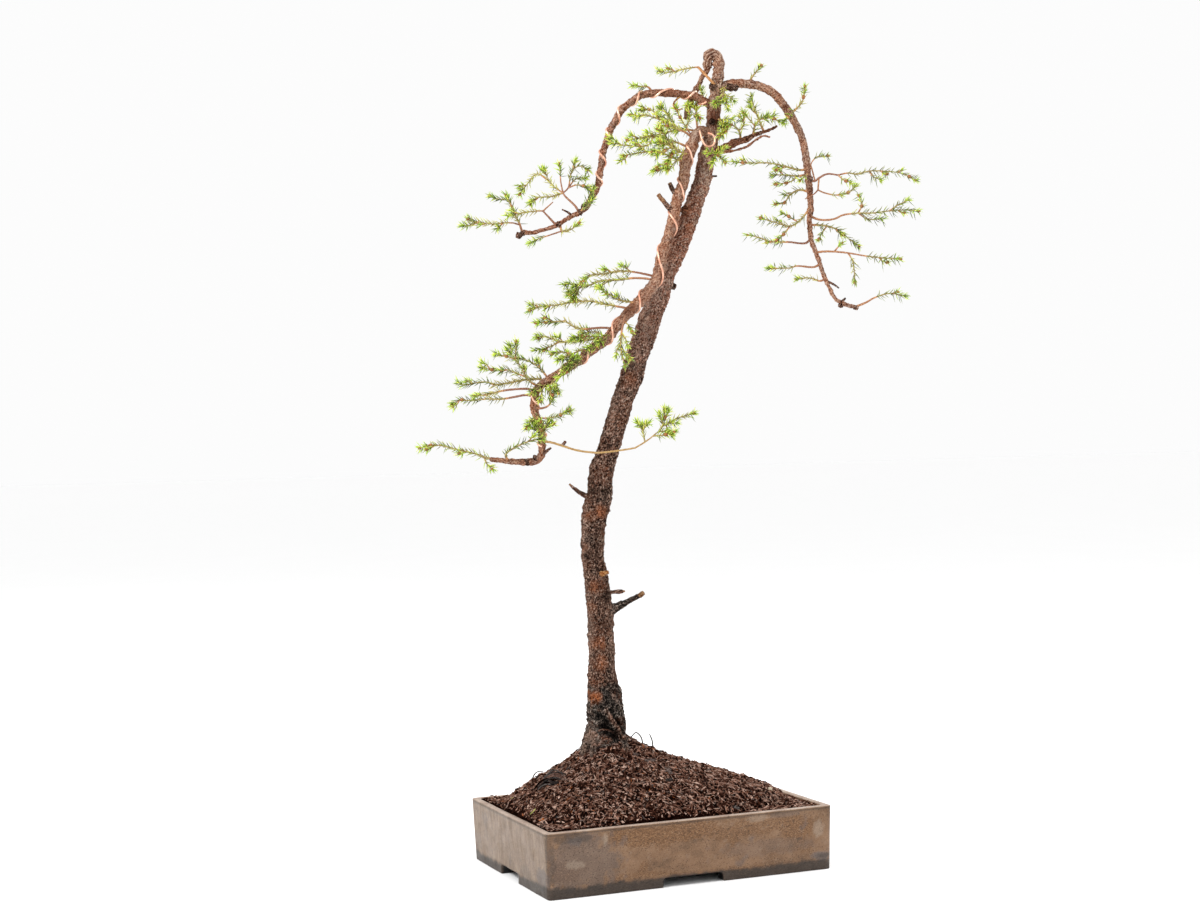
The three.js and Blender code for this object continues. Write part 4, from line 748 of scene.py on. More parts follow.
def bark_material():
    """Bark in its own places along and round each limb, in millimetres. pale goes from the black foot over
    the brown trunk to the pinkish young limbs, fresh marks cut wood, rust the places where the outer bark is
    gone, light the painted highlights where light falls on the wood, with a few paler places of bark, and the
    fissure mark the dark fissures and dark places, with painted shade in the hollows, the fold's troughs and
    under limbs."""
    surface = Surface("bark")
    place = surface.mark("bark_place", "Vector")
    pale, fresh, rust = surface.mark("pale"), surface.mark("fresh"), surface.mark("rust")
    flat = surface.stretched(place, (1.0, 1.0, 0.75))
    fine = surface.noise(flat, 0.78, 5.0, 0.72)
    swirl = surface.noise(flat, 0.36, 4.0, 0.6, 2.2)
    ridge = surface.math("ABSOLUTE", surface.math("SUBTRACT", swirl, 0.5))
    flecks = surface.node("ShaderNodeTexVoronoi", {"Vector": flat, "Scale": 0.75, "Randomness": 1.0}, 1)
    fleck = surface.node("ShaderNodeSeparateColor", {"Color": flecks})
    patches = surface.noise(place, 0.055, 4.0)
    groups = surface.noise(flat, 0.16, 3.0)
    body = surface.ramp(
        pale, (0.0, rgb(33, 28, 25)), (0.2, rgb(93, 60, 47)), (0.5, rgb(138, 86, 64)),
        (0.75, rgb(222, 142, 110)), (1.0, rgb(255, 202, 164)),
    )
    light = surface.ramp(
        pale, (0.0, rgb(205, 186, 172)), (0.2, rgb(218, 180, 158)), (0.5, rgb(255, 216, 194)),
        (1.0, rgb(255, 230, 208)),
    )
    dark = surface.ramp(pale, (0.0, rgb(2, 1, 1)), (0.5, rgb(18, 8, 5)), (1.0, rgb(114, 60, 42)))
    colour = surface.layered(
        body, (patches, 0.5, 0.66, 0.6, rgb(156, 88, 54)), (patches, 0.48, 0.36, 0.75, dark),
        (fine, 0.53, 0.63, 0.95, light), (ridge, 0.035, 0.0, 0.75, light), (ridge, 0.1, 0.2, 0.5, dark),
        (fleck, 0.9, 0.94, 0.8, light), (fleck, 0.2, 0.12, 0.8, dark), (fine, 0.48, 0.4, 1.0, dark),
    )
    grouped = surface.between(groups, 0.5, 0.62)
    clusters = surface.math("MULTIPLY", grouped, surface.between(pale, 0.3, 0.9, 0.0, 0.8))
    # Painted highlights where the light mark is set, over clusters of pale flecks on the paler limbs.
    lit = surface.math("MAXIMUM", clusters, surface.mark("light"))
    lit = surface.math("MULTIPLY", lit, surface.between(fine, 0.44, 0.54, 0.1, 0.9))
    # The fissure mark darkens the fissures and dark bark, and is painted shade in hollows, the fold's troughs
    # and under limbs.
    colour = surface.marked(surface.mix(lit, colour, light), "crack", 0.9, dark)
    red = surface.mix(surface.between(fine, 0.38, 0.58), rgb(96, 48, 30), rgb(216, 130, 84))
    broad = surface.between(patches, 0.38, 0.52, 0.35, 1.0)
    torn = surface.math("MULTIPLY", surface.between(fine, 0.4, 0.5, 0.3, 0.9), broad)
    colour = surface.mix(surface.math("MULTIPLY", rust, torn), colour, red)
    wood = surface.mix(surface.between(fine, 0.42, 0.58), rgb(138, 72, 38), rgb(244, 186, 124))
    colour = surface.mix(fresh, colour, wood)
    surface.set(Base_Color=colour, Roughness=0.8, Specular_IOR_Level=0.02)
    surface.bump(surface.math("MULTIPLY_ADD", ridge, 1.2, fine), 0.002)
    return surface.material


def needle_material():
    """Needles from the dull green of the old ones, at tone 0, to the yellow green of the tips."""
    surface = Surface("needles")
    tone, tip = surface.mark("tone"), surface.mark("tip")
    colour = surface.ramp(
        tone, (0.0, rgb(44, 66, 26, 1)), (0.25, rgb(86, 112, 40, 1)), (0.5, rgb(136, 168, 58, 1)),
        (0.75, rgb(170, 204, 56, 1)), (1.0, rgb(226, 230, 98, 1)),
    )
    colour = surface.mix(surface.mark("olive"), colour, rgb(204, 186, 108, 1))
    # Each needle is darker toward its base and paler toward its tip: painted shade inside the tufts and
    # painted light on their outer tips.
    colour = surface.layered(
        colour, (tip, 0.55, 0.0, 0.65, rgb(78, 72, 26, 1)), (tip, 0.5, 1.0, 0.35, rgb(236, 230, 130, 1)),
    )
    surface.set(Base_Color=colour, Roughness=0.42, Specular_IOR_Level=0.4)
    return surface.material


def twig_material():
    """Thin twigs: brown where old, at tone 0, and pale ochre near the tips."""
    surface = Surface("twig_bark")
    fine = surface.noise(surface.place(), 1400.0, 3.0)
    colour = surface.ramp(
        surface.mark("tone"), (0.0, rgb(156, 100, 80)), (0.4, rgb(236, 164, 100)), (1.0, rgb(196, 176, 108)),
    )
    colour = surface.layered(
        colour, (fine, 0.52, 0.38, 0.75, rgb(104, 60, 42)), (fine, 0.55, 0.66, 0.7, rgb(250, 222, 184)),
    )
    surface.set(Base_Color=colour, Roughness=0.6, Specular_IOR_Level=0.3)
    surface.bump(fine, 0.0002)
    return surface.material


def copper_material():
    """Annealed copper wire, dulled to brown in places."""
    surface = Surface("copper_wire")
    dull = surface.noise(surface.place(), 90.0, 4.0)
    scratches = surface.noise(surface.place(), 1800.0, 2.0)
    colour = surface.ramp(
        dull, (0.35, rgb(190, 128, 102, 1)), (0.55, rgb(228, 178, 152, 1)), (0.75, rgb(248, 220, 202, 1)),
    )
    surface.set(Base_Color=colour, Metallic=0.5, Roughness=surface.between(dull, 0.3, 0.7, 0.48, 0.3))
    surface.bump(scratches, 0.00008)
    return surface.material


def soil_material():
    """Soil, crumbs and fibres, from dark, at tone 0, to straw brown."""
    surface = Surface("soil")
    fine = surface.noise(surface.place(), 700.0, 5.0, 0.7)
    tone = surface.math("ADD", surface.mark("tone"), surface.math("MULTIPLY_ADD", fine, 0.8, -0.4))
    colour = surface.ramp(
        tone, (0.0, rgb(12, 6, 5)), (0.35, rgb(76, 48, 39)), (0.65, rgb(156, 113, 95)),
        (1.0, rgb(232, 195, 176)),
    )
    colour = surface.mix(surface.mark("orange"), colour, rgb(196, 112, 60))
    grey = surface.mix(surface.between(fine, 0.4, 0.6), rgb(66, 60, 58), rgb(132, 124, 120))
    colour = surface.mix(surface.mark("ashen"), colour, grey)
    surface.set(Base_Color=colour, Roughness=0.95, Specular_IOR_Level=0.0)
    surface.bump(fine, 0.0008)
    return surface.material


def glaze_material():
    """The pot's glaze: brown with rusty, ashen and worn places, which are marks on its mesh, and paler on the
    left end. The rim is bare pale clay, and the underside is bare clay painted near black, painted shade
    under the pot."""
    surface = Surface("pot_glaze")
    place = surface.place()
    axes = surface.node("ShaderNodeSeparateXYZ", {"Vector": place})
    x, z = axes, axes.node.outputs["Z"]
    cloud = surface.noise(surface.stretched(place, (1.0, 1.0, 1.6)), 38.0, 6.0, 0.65)
    grain = surface.noise(surface.stretched(place, (1.0, 1.0, 2.8)), 480.0, 5.0, 0.75)
    speck = surface.noise(place, 900.0, 2.0)
    streak = surface.noise(surface.stretched(place, (1.0, 1.0, 0.3)), 150.0, 5.0, 0.7)
    brown = surface.ramp(cloud, (0.3, rgb(112, 85, 63)), (0.5, rgb(142, 108, 80)), (0.7, rgb(158, 123, 94)))
    rusty = surface.ramp(grain, (0.36, rgb(88, 59, 36)), (0.5, rgb(130, 92, 59)), (0.64, rgb(162, 120, 82)))
    tan = surface.ramp(streak, (0.3, rgb(112, 93, 77)), (0.5, rgb(145, 125, 107)), (0.7, rgb(170, 150, 130)))
    clay = surface.ramp(cloud, (0.35, rgb(172, 146, 130)), (0.65, rgb(212, 190, 172)))
    worn = surface.ramp(grain, (0.36, rgb(34, 28, 25)), (0.64, rgb(74, 65, 58)))
    left = (pot_low[0] + 1.5) * MM
    rim = (POT_HEIGHT - 0.9) * MM
    colour = surface.mix(surface.mark("rusty"), brown, rusty)
    colour = surface.mix(surface.between(x, left, left + 0.001, 0.85, 0.0), colour, tan)
    colour = surface.marked(colour, "ashen", 0.8, rgb(108, 98, 94))
    colour = surface.marked(colour, "scuffed", 0.6, rgb(176, 156, 136))
    colour = surface.layered(
        colour, (z, rim - 0.0004, rim + 0.0003, 0.9, clay), (grain, 0.44, 0.34, 0.5, rgb(66, 48, 36)),
        (grain, 0.56, 0.68, 0.45, rgb(192, 164, 138)), (speck, 0.58, 0.66, 0.7, rgb(58, 42, 32)),
    )
    colour = surface.marked(colour, "worn", 0.9, worn)
    # The underside and inner feet painted near black: bare clay and painted shade under the pot.
    colour = surface.mix(surface.mark("under"), colour, rgb(16, 13, 12))
    shine = surface.between(cloud, 0.3, 0.7, 0.6, 0.42)
    surface.set(Base_Color=colour, Roughness=shine, Specular_IOR_Level=0.3, Coat_Weight=0.04)
    surface.bump(surface.math("MULTIPLY_ADD", grain, 0.35, cloud), 0.0006)
    return surface.material


def plain_material(name, colours, roughness, scale=300.0, depth=0.0002, detail=4.0):
    """A material with a few colours in fine even patches."""
    surface = Surface(name)
    fine = surface.noise(surface.place(), scale, detail)
    stops = zip(np.linspace(0.3, 0.7, len(colours)), colours)
    surface.set(Base_Color=surface.ramp(fine, *stops), Roughness=roughness)
    surface.bump(fine, depth)
    return surface.material


BARK, NEEDLES, TWIG = bark_material(), needle_material(), twig_material()
BUD = plain_material(
    "bud_scales", [rgb(112, 62, 34), rgb(182, 112, 58), rgb(214, 158, 92)], 0.6, 900.0, 0.0003, 3.0,
)
COPPER, SOIL, GLAZE = copper_material(), soil_material(), glaze_material()
SCREEN = plain_material("screen_plastic", [rgb(30, 32, 33), rgb(46, 48, 50)], 0.65)
PELLET = plain_material("pellet", [rgb(196, 178, 146), rgb(226, 214, 190)], 0.9)
PALE_FLOOR = plain_material("floor", [rgb(254, 254, 254, 1), rgb(255, 255, 255, 1)], 0.6, 3.0, 0.0)


# The camera, at the photograph's place, and the studio

LENS = 60
SENSOR = 36
FLOOR_REACH = 60
WORLD_LIGHT = 0.975
LIT_PLACE = Vector((0, 0, 0.35))
# The lights: place, power and size
LIGHTS = [
    ("key", (-2.0, -0.7, 2.1), 64, 0.7), ("fill", (1.7, -1.7, 1.2), 8, 1.2),
    ("rim", (1.9, 0.9, 1.7), 34, 0.8),
]


def add_camera():
    turn = Matrix((SIGHT_RIGHT, SIGHT_UP, -SIGHT)).transposed().to_4x4()
    camera = new_object("camera", bpy.data.cameras.new("camera"))
    camera.data.lens = LENS
    camera.data.sensor_width = SENSOR
    camera.data.clip_end = 50
    camera.matrix_world = Matrix.Translation((EYE + POT_MIDDLE) * MM) @ turn
    bpy.context.scene.camera = camera


def add_light(name, place, power, size):
    light = bpy.data.lights.new(name, "AREA")
    light.energy, light.size = power, size
    lamp = new_object(name, light)
    lamp.location = place
    lamp.rotation_euler = (LIT_PLACE - Vector(place)).to_track_quat("-Z", "Y").to_euler()


def add_studio():
    floor = bpy.data.meshes.new("floor")
    corners = [(x * FLOOR_REACH, y * FLOOR_REACH, 0) for x, y in ((-1, -1), (1, -1), (1, 1), (-1, 1))]
    floor.from_pydata(corners, [], [(0, 1, 2, 3)])
    floor.materials.append(PALE_FLOOR)
    new_object("floor", floor)
    world = bpy.data.worlds.new("white_room")
    world.use_nodes = True
    background = world.node_tree.nodes["Background"].inputs
    background["Color"].default_value = (1, 1, 1, 1)
    background["Strength"].default_value = WORLD_LIGHT
    bpy.context.scene.world = world
    for light in LIGHTS:
        add_light(*light)
    bpy.context.scene.view_settings.view_transform = "Standard"


add_camera()
add_studio()


# The wood, one piece grown together

TRUNK_STEP, LIMB_STEP, STUB_STEP, FINE_STEP = 1.1, 1.2, 0.8, 0.7
FOOT_TOP = 200
# Ridges and grooves over the front of the foot: from and to (across, height), width, rise
FOOT_FORMS = [
    [(4, 149), (18, 129), 1.7, 2.0], [(0, 158), (13, 138), 1.5, 1.6], [(-8, 157), (6, 145), 1.6, 1.5],
    [(12, 148), (18.5, 134), 1.4, -3.2], [(4, 158), (13, 143), 1.4, -3.2], [(-5, 152), (2, 145), 2.2, -3.2],
    [(-11, 166), (-2, 158), 1.1, -2.4], [(-1, 170), (8, 160), 1.1, -2.4], [(9, 166), (15, 154), 1.1, -2.2],
    [(-10, 153), (-8.5, 148), 2.6, -2.6], [(-3, 139), (11, 131), 4.5, -5.0],
    [(-11, 160), (-10, 172), 1.5, -1.4], [(-16, 176), (-14, 160), 1.6, 1.2],
    [(-4, 178), (2, 168), 1.5, -1.3], [(8, 176), (10, 166), 2.2, 1.2],
]
# Rust-coloured places: across, height, size, amount
RUST_SPOTS = [
    (-10, 169, 6, 1.0), (-18, 173, 3.5, 0.8), (-5, 355, 6, 0.7), (-15, 350, 6, 0.7), (-21, 320, 4, 0.6),
    (-13, 280, 6, 0.5), (-16, 260, 6, 0.5), (-8, 222, 8, 0.5), (-6, 205, 8, 0.5), (80, 657, 6, 0.5),
    (84, 640, 5, 0.5), (58, 612, 8, 0.4), (44, 548, 6, 0.3), (24, 488, 8, 0.3),
]
# Dark places, partly dark bark and partly painted shade in hollows and under limbs: across, height, half
# width, half height, amount
DARK_SPOTS = [
    (-17, 310, 7, 8, 0.7), (-1, 272, 6, 9, 0.75), (-6, 243, 14, 6, 0.6), (-14, 375, 15, 3.4, 0.75),
    (-8, 328, 7, 9, 0.5), (108, 750, 9, 11, 0.95), (44, 532, 8, 8, 0.5), (81, 652, 6, 9, 0.6),
    (8, 178, 13, 10, 0.6), (62, 775, 13, 5, 0.65), (100, 770, 9, 6, 0.6), (24, 556, 8, 9, 0.6),
    (203, 674, 7, 13, 0.6), (4, 245, 6, 6, 0.5), (90, 690, 6, 14, 0.35), (116, 797.5, 6, 0.8, 0.9),
    (-12, 392, 8, 6, 0.4), (-71, 405, 12, 6, 0.5),
]
# Pale places, mostly painted highlights where light falls on the wood and partly paler bark: across, height,
# half width, half height, amount
HIGHLIGHTS_AND_PALE_BARK = [
    (40, 550, 7, 22, 0.9), (50, 576, 7, 18, 0.75), (30, 518, 5, 18, 0.6), (60, 602, 6, 18, 0.6),
    (-16, 131, 7, 9, 1.0), (-21, 119, 5, 8, 0.7), (90, 733, 8, 7, 0.85), (117.5, 801, 4, 9, 0.9),
    (115, 787, 4, 7, 0.6), (203, 712, 4, 24, 0.7), (194, 742, 4, 16, 0.6), (160, 780, 14, 3, 0.5),
    (100, 690, 5, 16, 0.5), (28, 771, 16, 4, 0.6), (10, 754, 4, 10, 0.6), (42, 578, 9, 7, 0.6),
    (60, 640, 4, 24, 0.4), (-17, 236, 4, 40, 0.35), (6, 232, 3, 36, 0.35), (-22, 330, 3, 30, 0.35),
    (8, 470, 5, 30, 0.4), (80, 700, 5, 18, 0.5),
]
# The tight fold at the top, seen from the front: its middle, the height where it starts and the
# space between its wrinkles
FOLD_MIDDLE = (111, 803)
FOLD_START = 795
FOLD_PITCH = 3.3
# Thin roots that lie over the foot
FINE_ROOTS = [
    [[-9, 135, 15, 1.6], [-4, 137, 19, 1.8], [2, 136.5, 20, 1.6], [8, 134, 17, 1.4]],
    [[-8, 121, 20, 1.6], [-4, 126, 22, 1.6], [2, 128, 22, 1.4], [7, 126, 20, 1.2]],
]
# The cut and broken ends of stubs: how many millimetres of fresh wood each one shows
FRESH_ENDS = [3, 30, 2, 6, 0, 0, 0, 1, 9, 0, 0, 0, 0, 99]
STUB_TONES = [0.45, 0.3, 0.5, 0.05, 0.2, 0.2, 0.4, 0.3, 0.5, 0.4, 0.5, 0.4, 0.5, 0.9]
# Lumps on the wood: [across, height, nearer, width]
KNOTS = [
    [-83, 634, 32, 7], [-87, 631.5, 33, 8], [-47.5, 642.5, 28.5, 8], [-26, 655, 24.5, 8],
    [-22, 660, 23.5, 7], [106.5, 780.5, 3, 9], [124, 780, -3, 11], [129, 779, -4, 8], [106.5, 745, 2, 9],
    [203.5, 688, -15, 9.5], [204.5, 655, -13, 8], [235, 562, -4.5, 6.5], [250, 559.5, -3, 6],
    [-79, 405, 42, 9], [-70, 408, 41.5, 9], [-42, 424, 46, 4.5], [-71, 472, 41, 9.5], [63, 590, 2, 9],
    [-16, 362, 3, 10],
]
# How pale the trunk's bark is at some heights
TRUNK_PALE = [
    (140, 0.0), (178, 0.02), (196, 0.28), (290, 0.27), (350, 0.3), (480, 0.46), (640, 0.76), (760, 0.92),
    (775, 1.0),
]
# The keys of limbs with a collar at their root, and of those with knobs along them
COLLARED = range(1, 60)
KNOBBED = range(1, 7)
COLLAR_SHARE, COLLAR_FADE = 0.32, 4.5
# How far apart the limbs lie in the bark's pattern
LIMB_SHIFT = 37.3


def front_forms(limb, sides):
    """How the wood rises, and its rust-coloured places, its dark places with painted shade, and its pale
    places with painted highlights, laid out as seen from the front."""
    out = limb.spokes(sides)
    seat = sighted(limb.place[:, None] + out * limb.radius[:, None, None])
    across, height = seat[..., 0], seat[..., 1]
    facing = smooth(out @ TO_VIEWER, 0.0, 0.35)
    rise, rust, light = (np.zeros(across.shape) for _ in range(3))
    for (x0, y0), (x1, y1), width, amount in FOOT_FORMS:
        dx, dy = x1 - x0, y1 - y0
        t = np.clip(((across - x0) * dx + (height - y0) * dy) / (dx * dx + dy * dy), 0, 1)
        gap = np.hypot(across - x0 - t * dx, height - y0 - t * dy)
        rise += facing * amount * np.exp(-(gap / width) ** 2)
    for x, y, size, amount in RUST_SPOTS:
        gap = np.hypot(across - x, height - y) / size
        rust = np.maximum(rust, facing * amount * np.clip(1.6 - 1.2 * gap, 0, 1))
    ring = np.hypot(across - FOLD_MIDDLE[0], height - FOLD_MIDDLE[1])
    above, left = smooth(height, FOLD_START, FOLD_START + 4), smooth(FOLD_MIDDLE[0] - across, 0, 2)
    in_fold = above * left * smooth(ring, 3, 5)
    # Ripples of the fold: they raise and sink the wood, with painted shade in their troughs and painted
    # highlights on their crests.
    ripple_and_shade = np.cos(ring * 2 * math.pi / FOLD_PITCH)
    rise += in_fold * 0.9 * ripple_and_shade
    dark = in_fold * smooth(-ripple_and_shade, 0.0, 0.9)
    # Dark places: dark bark, and painted shade in hollows and under limbs.
    for x, y, half_width, half_height, amount in DARK_SPOTS:
        gap = ((across - x) / half_width) ** 2 + ((height - y) / half_height) ** 2
        dark = np.maximum(dark, facing * amount * np.exp(-gap ** 1.5))
    # Pale places: painted highlights where light falls on the wood, and some paler bark.
    for x, y, half_width, half_height, amount in HIGHLIGHTS_AND_PALE_BARK:
        gap = ((across - x) / half_width) ** 2 + ((height - y) / half_height) ** 2
        light = np.maximum(light, smooth(facing, 0.0, 0.4) * amount * np.exp(-gap))
    return rise, rust, dark, np.maximum(light, in_fold * smooth(ripple_and_shade, 0.2, 1))


def bark_skin(shape, limb, sides, key, pale, plate, depth, extra=0, blunt=0.4, fresh=0.0):
    """A limb in rough bark: plates of a size in millimetres, each a little proud or sunk. pale and
    fresh are a number, or have one for each ring."""
    angles = round_angles(sides)
    radius, run = (np.repeat(values[:, None], sides, 1) for values in (limb.radius, limb.run))
    place = np.stack([radius * np.cos(angles) + key * LIMB_SHIFT, radius * np.sin(angles), run], -1)
    scaled = (place / np.array(plate)).reshape(-1, 3)
    edge, flake, rough = (np.empty(len(scaled)) for _ in range(3))
    for i, spot in enumerate(scaled.tolist()):
        nearest, middles = noise.voronoi(spot)
        edge[i] = nearest[1] - nearest[0]
        flake[i] = abs(noise.cell(middles[0] * 9.7)) % 1
        rough[i] = noise.fractal([v * 0.5 for v in spot], 0.8, 2.1, 4)
    edge, flake, rough = (values.reshape(run.shape) for values in (edge, flake, rough))
    crack = 1 - smooth(edge, 0.02, 0.25)
    rise, rust, ripple_and_shade, shine = front_forms(limb, sides)
    collar = COLLAR_SHARE * np.exp(-run / COLLAR_FADE) if key in COLLARED else np.zeros(run.shape)
    if key in KNOBBED:
        rust = np.maximum(rust, 0.22 if key == 1 else 0.4)
        collar = collar + 0.15 * np.maximum(np.sin(run * 0.5 + 2 * np.sin(run * 0.13 + key)), 0) ** 5
    relief = depth * (0.7 * (flake - 0.5) - 0.8 * crack + 1.2 * rough) + rise + radius * collar
    distance = np.maximum(radius + relief + extra, radius * 0.4)
    pale, fresh = (np.broadcast_to(np.reshape(values, (-1, 1)), run.shape) for values in (pale, fresh))
    # Paler on raised places and where the light mark is set: painted highlights.
    pale = np.clip(pale + 0.12 * rough + 0.14 * np.clip(rise, -1, 2) + 0.15 * shine, 0, 1)
    # Painted shade in sunk grooves, in the fold's troughs and on the dark places.
    hollow = np.maximum(ripple_and_shade, smooth(-rise, 0.7, 2.2))
    skin(
        shape, limb, sides, distance, blunt=blunt, bark_place=place, pale=pale, rust=rust, light=shine,
        crack=np.maximum(crack * 0.7, hollow), fresh=fresh,
    )


def trunk_relief(limb, sides):
    """Slanting ridges round the foot, and a slow unevenness above."""
    angles = round_angles(sides)
    run, height = limb.run[:, None], limb.place[:, 2:3]
    low = smooth(FOOT_TOP - height, 0, 70)
    ridge = np.abs(np.sin(angles * 2.5 - run * 0.055 + 1.2 * np.sin(run * 0.05)))
    fine = np.abs(np.sin(angles * 7 - run * 0.11 + 0.8))
    slow = 0.035 * np.sin(height * 0.16 + angles * 3)
    return low * (1.6 * (ridge - 0.6) + 0.8 * (fine - 0.6)) + limb.radius[:, None] * slow


def build_wood():
    """The trunk, its limbs, roots, stubs and knots, each with its own pattern of bark."""
    shape = Shape()
    limb = Limb.laid(TRUNK, TRUNK_STEP)
    pale = np.interp(limb.place[:, 2], *zip(*TRUNK_PALE))
    bark_skin(shape, limb, 64, 0, pale, (2.2, 2.2, 2.8), 1.0, trunk_relief(limb, 64))
    for key, (stations, sides, tone) in enumerate([
        (LEADER, 30, 1.0), (LEFT_BRANCH, 22, 0.8), (RIGHT_BRANCH, 24, 0.94), (INNER_BRANCH, 20, 0.42),
        (INNER_TWIG, 12, 0.8), (ARCHED_LIMB, 30, 0.92),
    ], 1):
        bark_skin(shape, Limb.laid(stations, LIMB_STEP), sides, key, tone, (1.7, 1.7, 2.4), 0.52)
    for key, stations in enumerate(ROOTS, 20):
        bark_skin(shape, Limb.laid(stations, LIMB_STEP), 26, key, 0.04, (2.4, 2.4, 3.4), 0.9)
    for key, stations in enumerate(FINE_ROOTS, 30):
        bark_skin(shape, Limb.laid(stations, FINE_STEP), 10, key, 0.6, (1.5, 1.5, 2.2), 0.1)
    for key, (stations, end, tone) in enumerate(zip(STUBS, FRESH_ENDS, STUB_TONES), 40):
        limb = Limb.laid(stations, STUB_STEP)
        bright = 1.0 if end > 20 else 0.45
        fresh = bright * smooth(limb.run, limb.length - end - 0.6, limb.length - end + 0.6) if end else 0.0
        depth = 0.12 * limb.radius.max() ** 0.8
        bark_skin(shape, limb, 14, key, tone, (1.5, 1.5, 2.2), depth, blunt=0.25, fresh=fresh)
    for key, (x, y, z, width) in enumerate(KNOTS, 60):
        knot = [[x - 1.6, y - 1, z, width * 0.75], [x, y, z, width], [x + 1.6, y + 1, z + 0.5, width * 0.7]]
        bark_skin(shape, Limb.laid(knot, FINE_STEP), 16, key, 0.35, (1.7, 1.7, 2.0), 0.9, blunt=0.7)
    add_piece("tree_wood", make_mesh("tree_wood", shape), [BARK], "bark", "wood")


# The training wires

WIRE_RADIUS = 1.05
LEFT_CROSSINGS = [0.7, 2.3, 4.6, 6, 8.9, 11.2, 13.6, 16, 17.6]
ARCHED_CROSSINGS = [1.9, 4.3, 7.4, 10.4, 13.4, 15.7, 18.7, 21.4, 23.2, 26.6, 29.2, 30.2]
FREE_LOOP = [
    [102, 734, 10], [107, 732, 12], [109, 727, 13], [107, 722, 14], [101.5, 720.5, 15.5], [97.6, 724, 16],
]


def wound(stations, crossings, steps=16):
    """Places of a wire wound round a limb, with one turn from each front crossing to the next."""
    limb = Limb.laid(stations, 1.0)
    turns = np.arange((len(crossings) - 1) * steps + 1) / steps
    station = np.interp(turns, np.arange(len(crossings)), crossings)
    along = unit(limb.at(station, limb.along))
    side = unit(TO_VIEWER - along * (along @ TO_VIEWER)[:, None])
    across = np.cross(along, side)
    radius = np.interp(station, limb.station, limb.radius)
    clear = (radius + WIRE_RADIUS * 0.65)[:, None]
    angle = (-turns * 2 * math.pi)[:, None]
    return limb.at(station, limb.place) + (side * np.cos(angle) + across * np.sin(angle)) * clear


def build_wires():
    routes = {
        "wire_left_branch": wound(LEFT_BRANCH, LEFT_CROSSINGS),
        "wire_arched_limb": np.vstack([seen(FREE_LOOP), wound(ARCHED_LIMB, ARCHED_CROSSINGS)]),
    }
    for name, route in routes.items():
        shape = Shape()
        limb = Limb(route, np.full(len(route), WIRE_RADIUS), 0.9)
        skin(shape, limb, 12, blunt=0.3)
        add_piece(f"{name}_fine", make_mesh(name, shape), [COPPER], "copper", name)


# The sprays: twigs, needles and buds

NEEDLE_WIDTH = 1.2
NEEDLE_PROFILE = (0.6, 1.0, 0.8, 0.0)
OLD_PER_MM, TUFT_PER_MM = 1.15, 2.5
TUFT_LENGTH = 7.5
TWIG_STEP = 1.3
TWIG_SIDES = 7
GOLDEN_ANGLE = math.pi * (3 - math.sqrt(5))
CLEARANCE = 0.4
MAIN_TWIG, SIDE_TWIG, TWIG_TIP = 1.15, 0.75, 0.4
THICK_TWIGS = {"crown_shoot": (1.5, 1.2)}
TWIG_TONES = {"crown_shoot": 0.4, "front_twig": 0.75}
# How dense and long the needles are, by the spray's name or its first word, and how far their tone is raised
# or lowered: painted light up in the crown and painted shade on the pads below it
MANNERS = {
    "crown": (0.85, 0.9, 0.14), "inner": (0.75, 0.9, 0.1), "trunk": (0.9, 0.9, 0.08),
    "right": (0.7, 0.82, -0.24), "left": (0.95, 0.85, -0.24), "limb": (1.0, 0.92, -0.34),
    "lower": (1.0, 0.9, -0.3), "bottom": (0.9, 0.95, -0.1), "front": (0.95, 0.9, 0.0),
    "limb_hanging": (0.8, 0.7, 0.2),
}
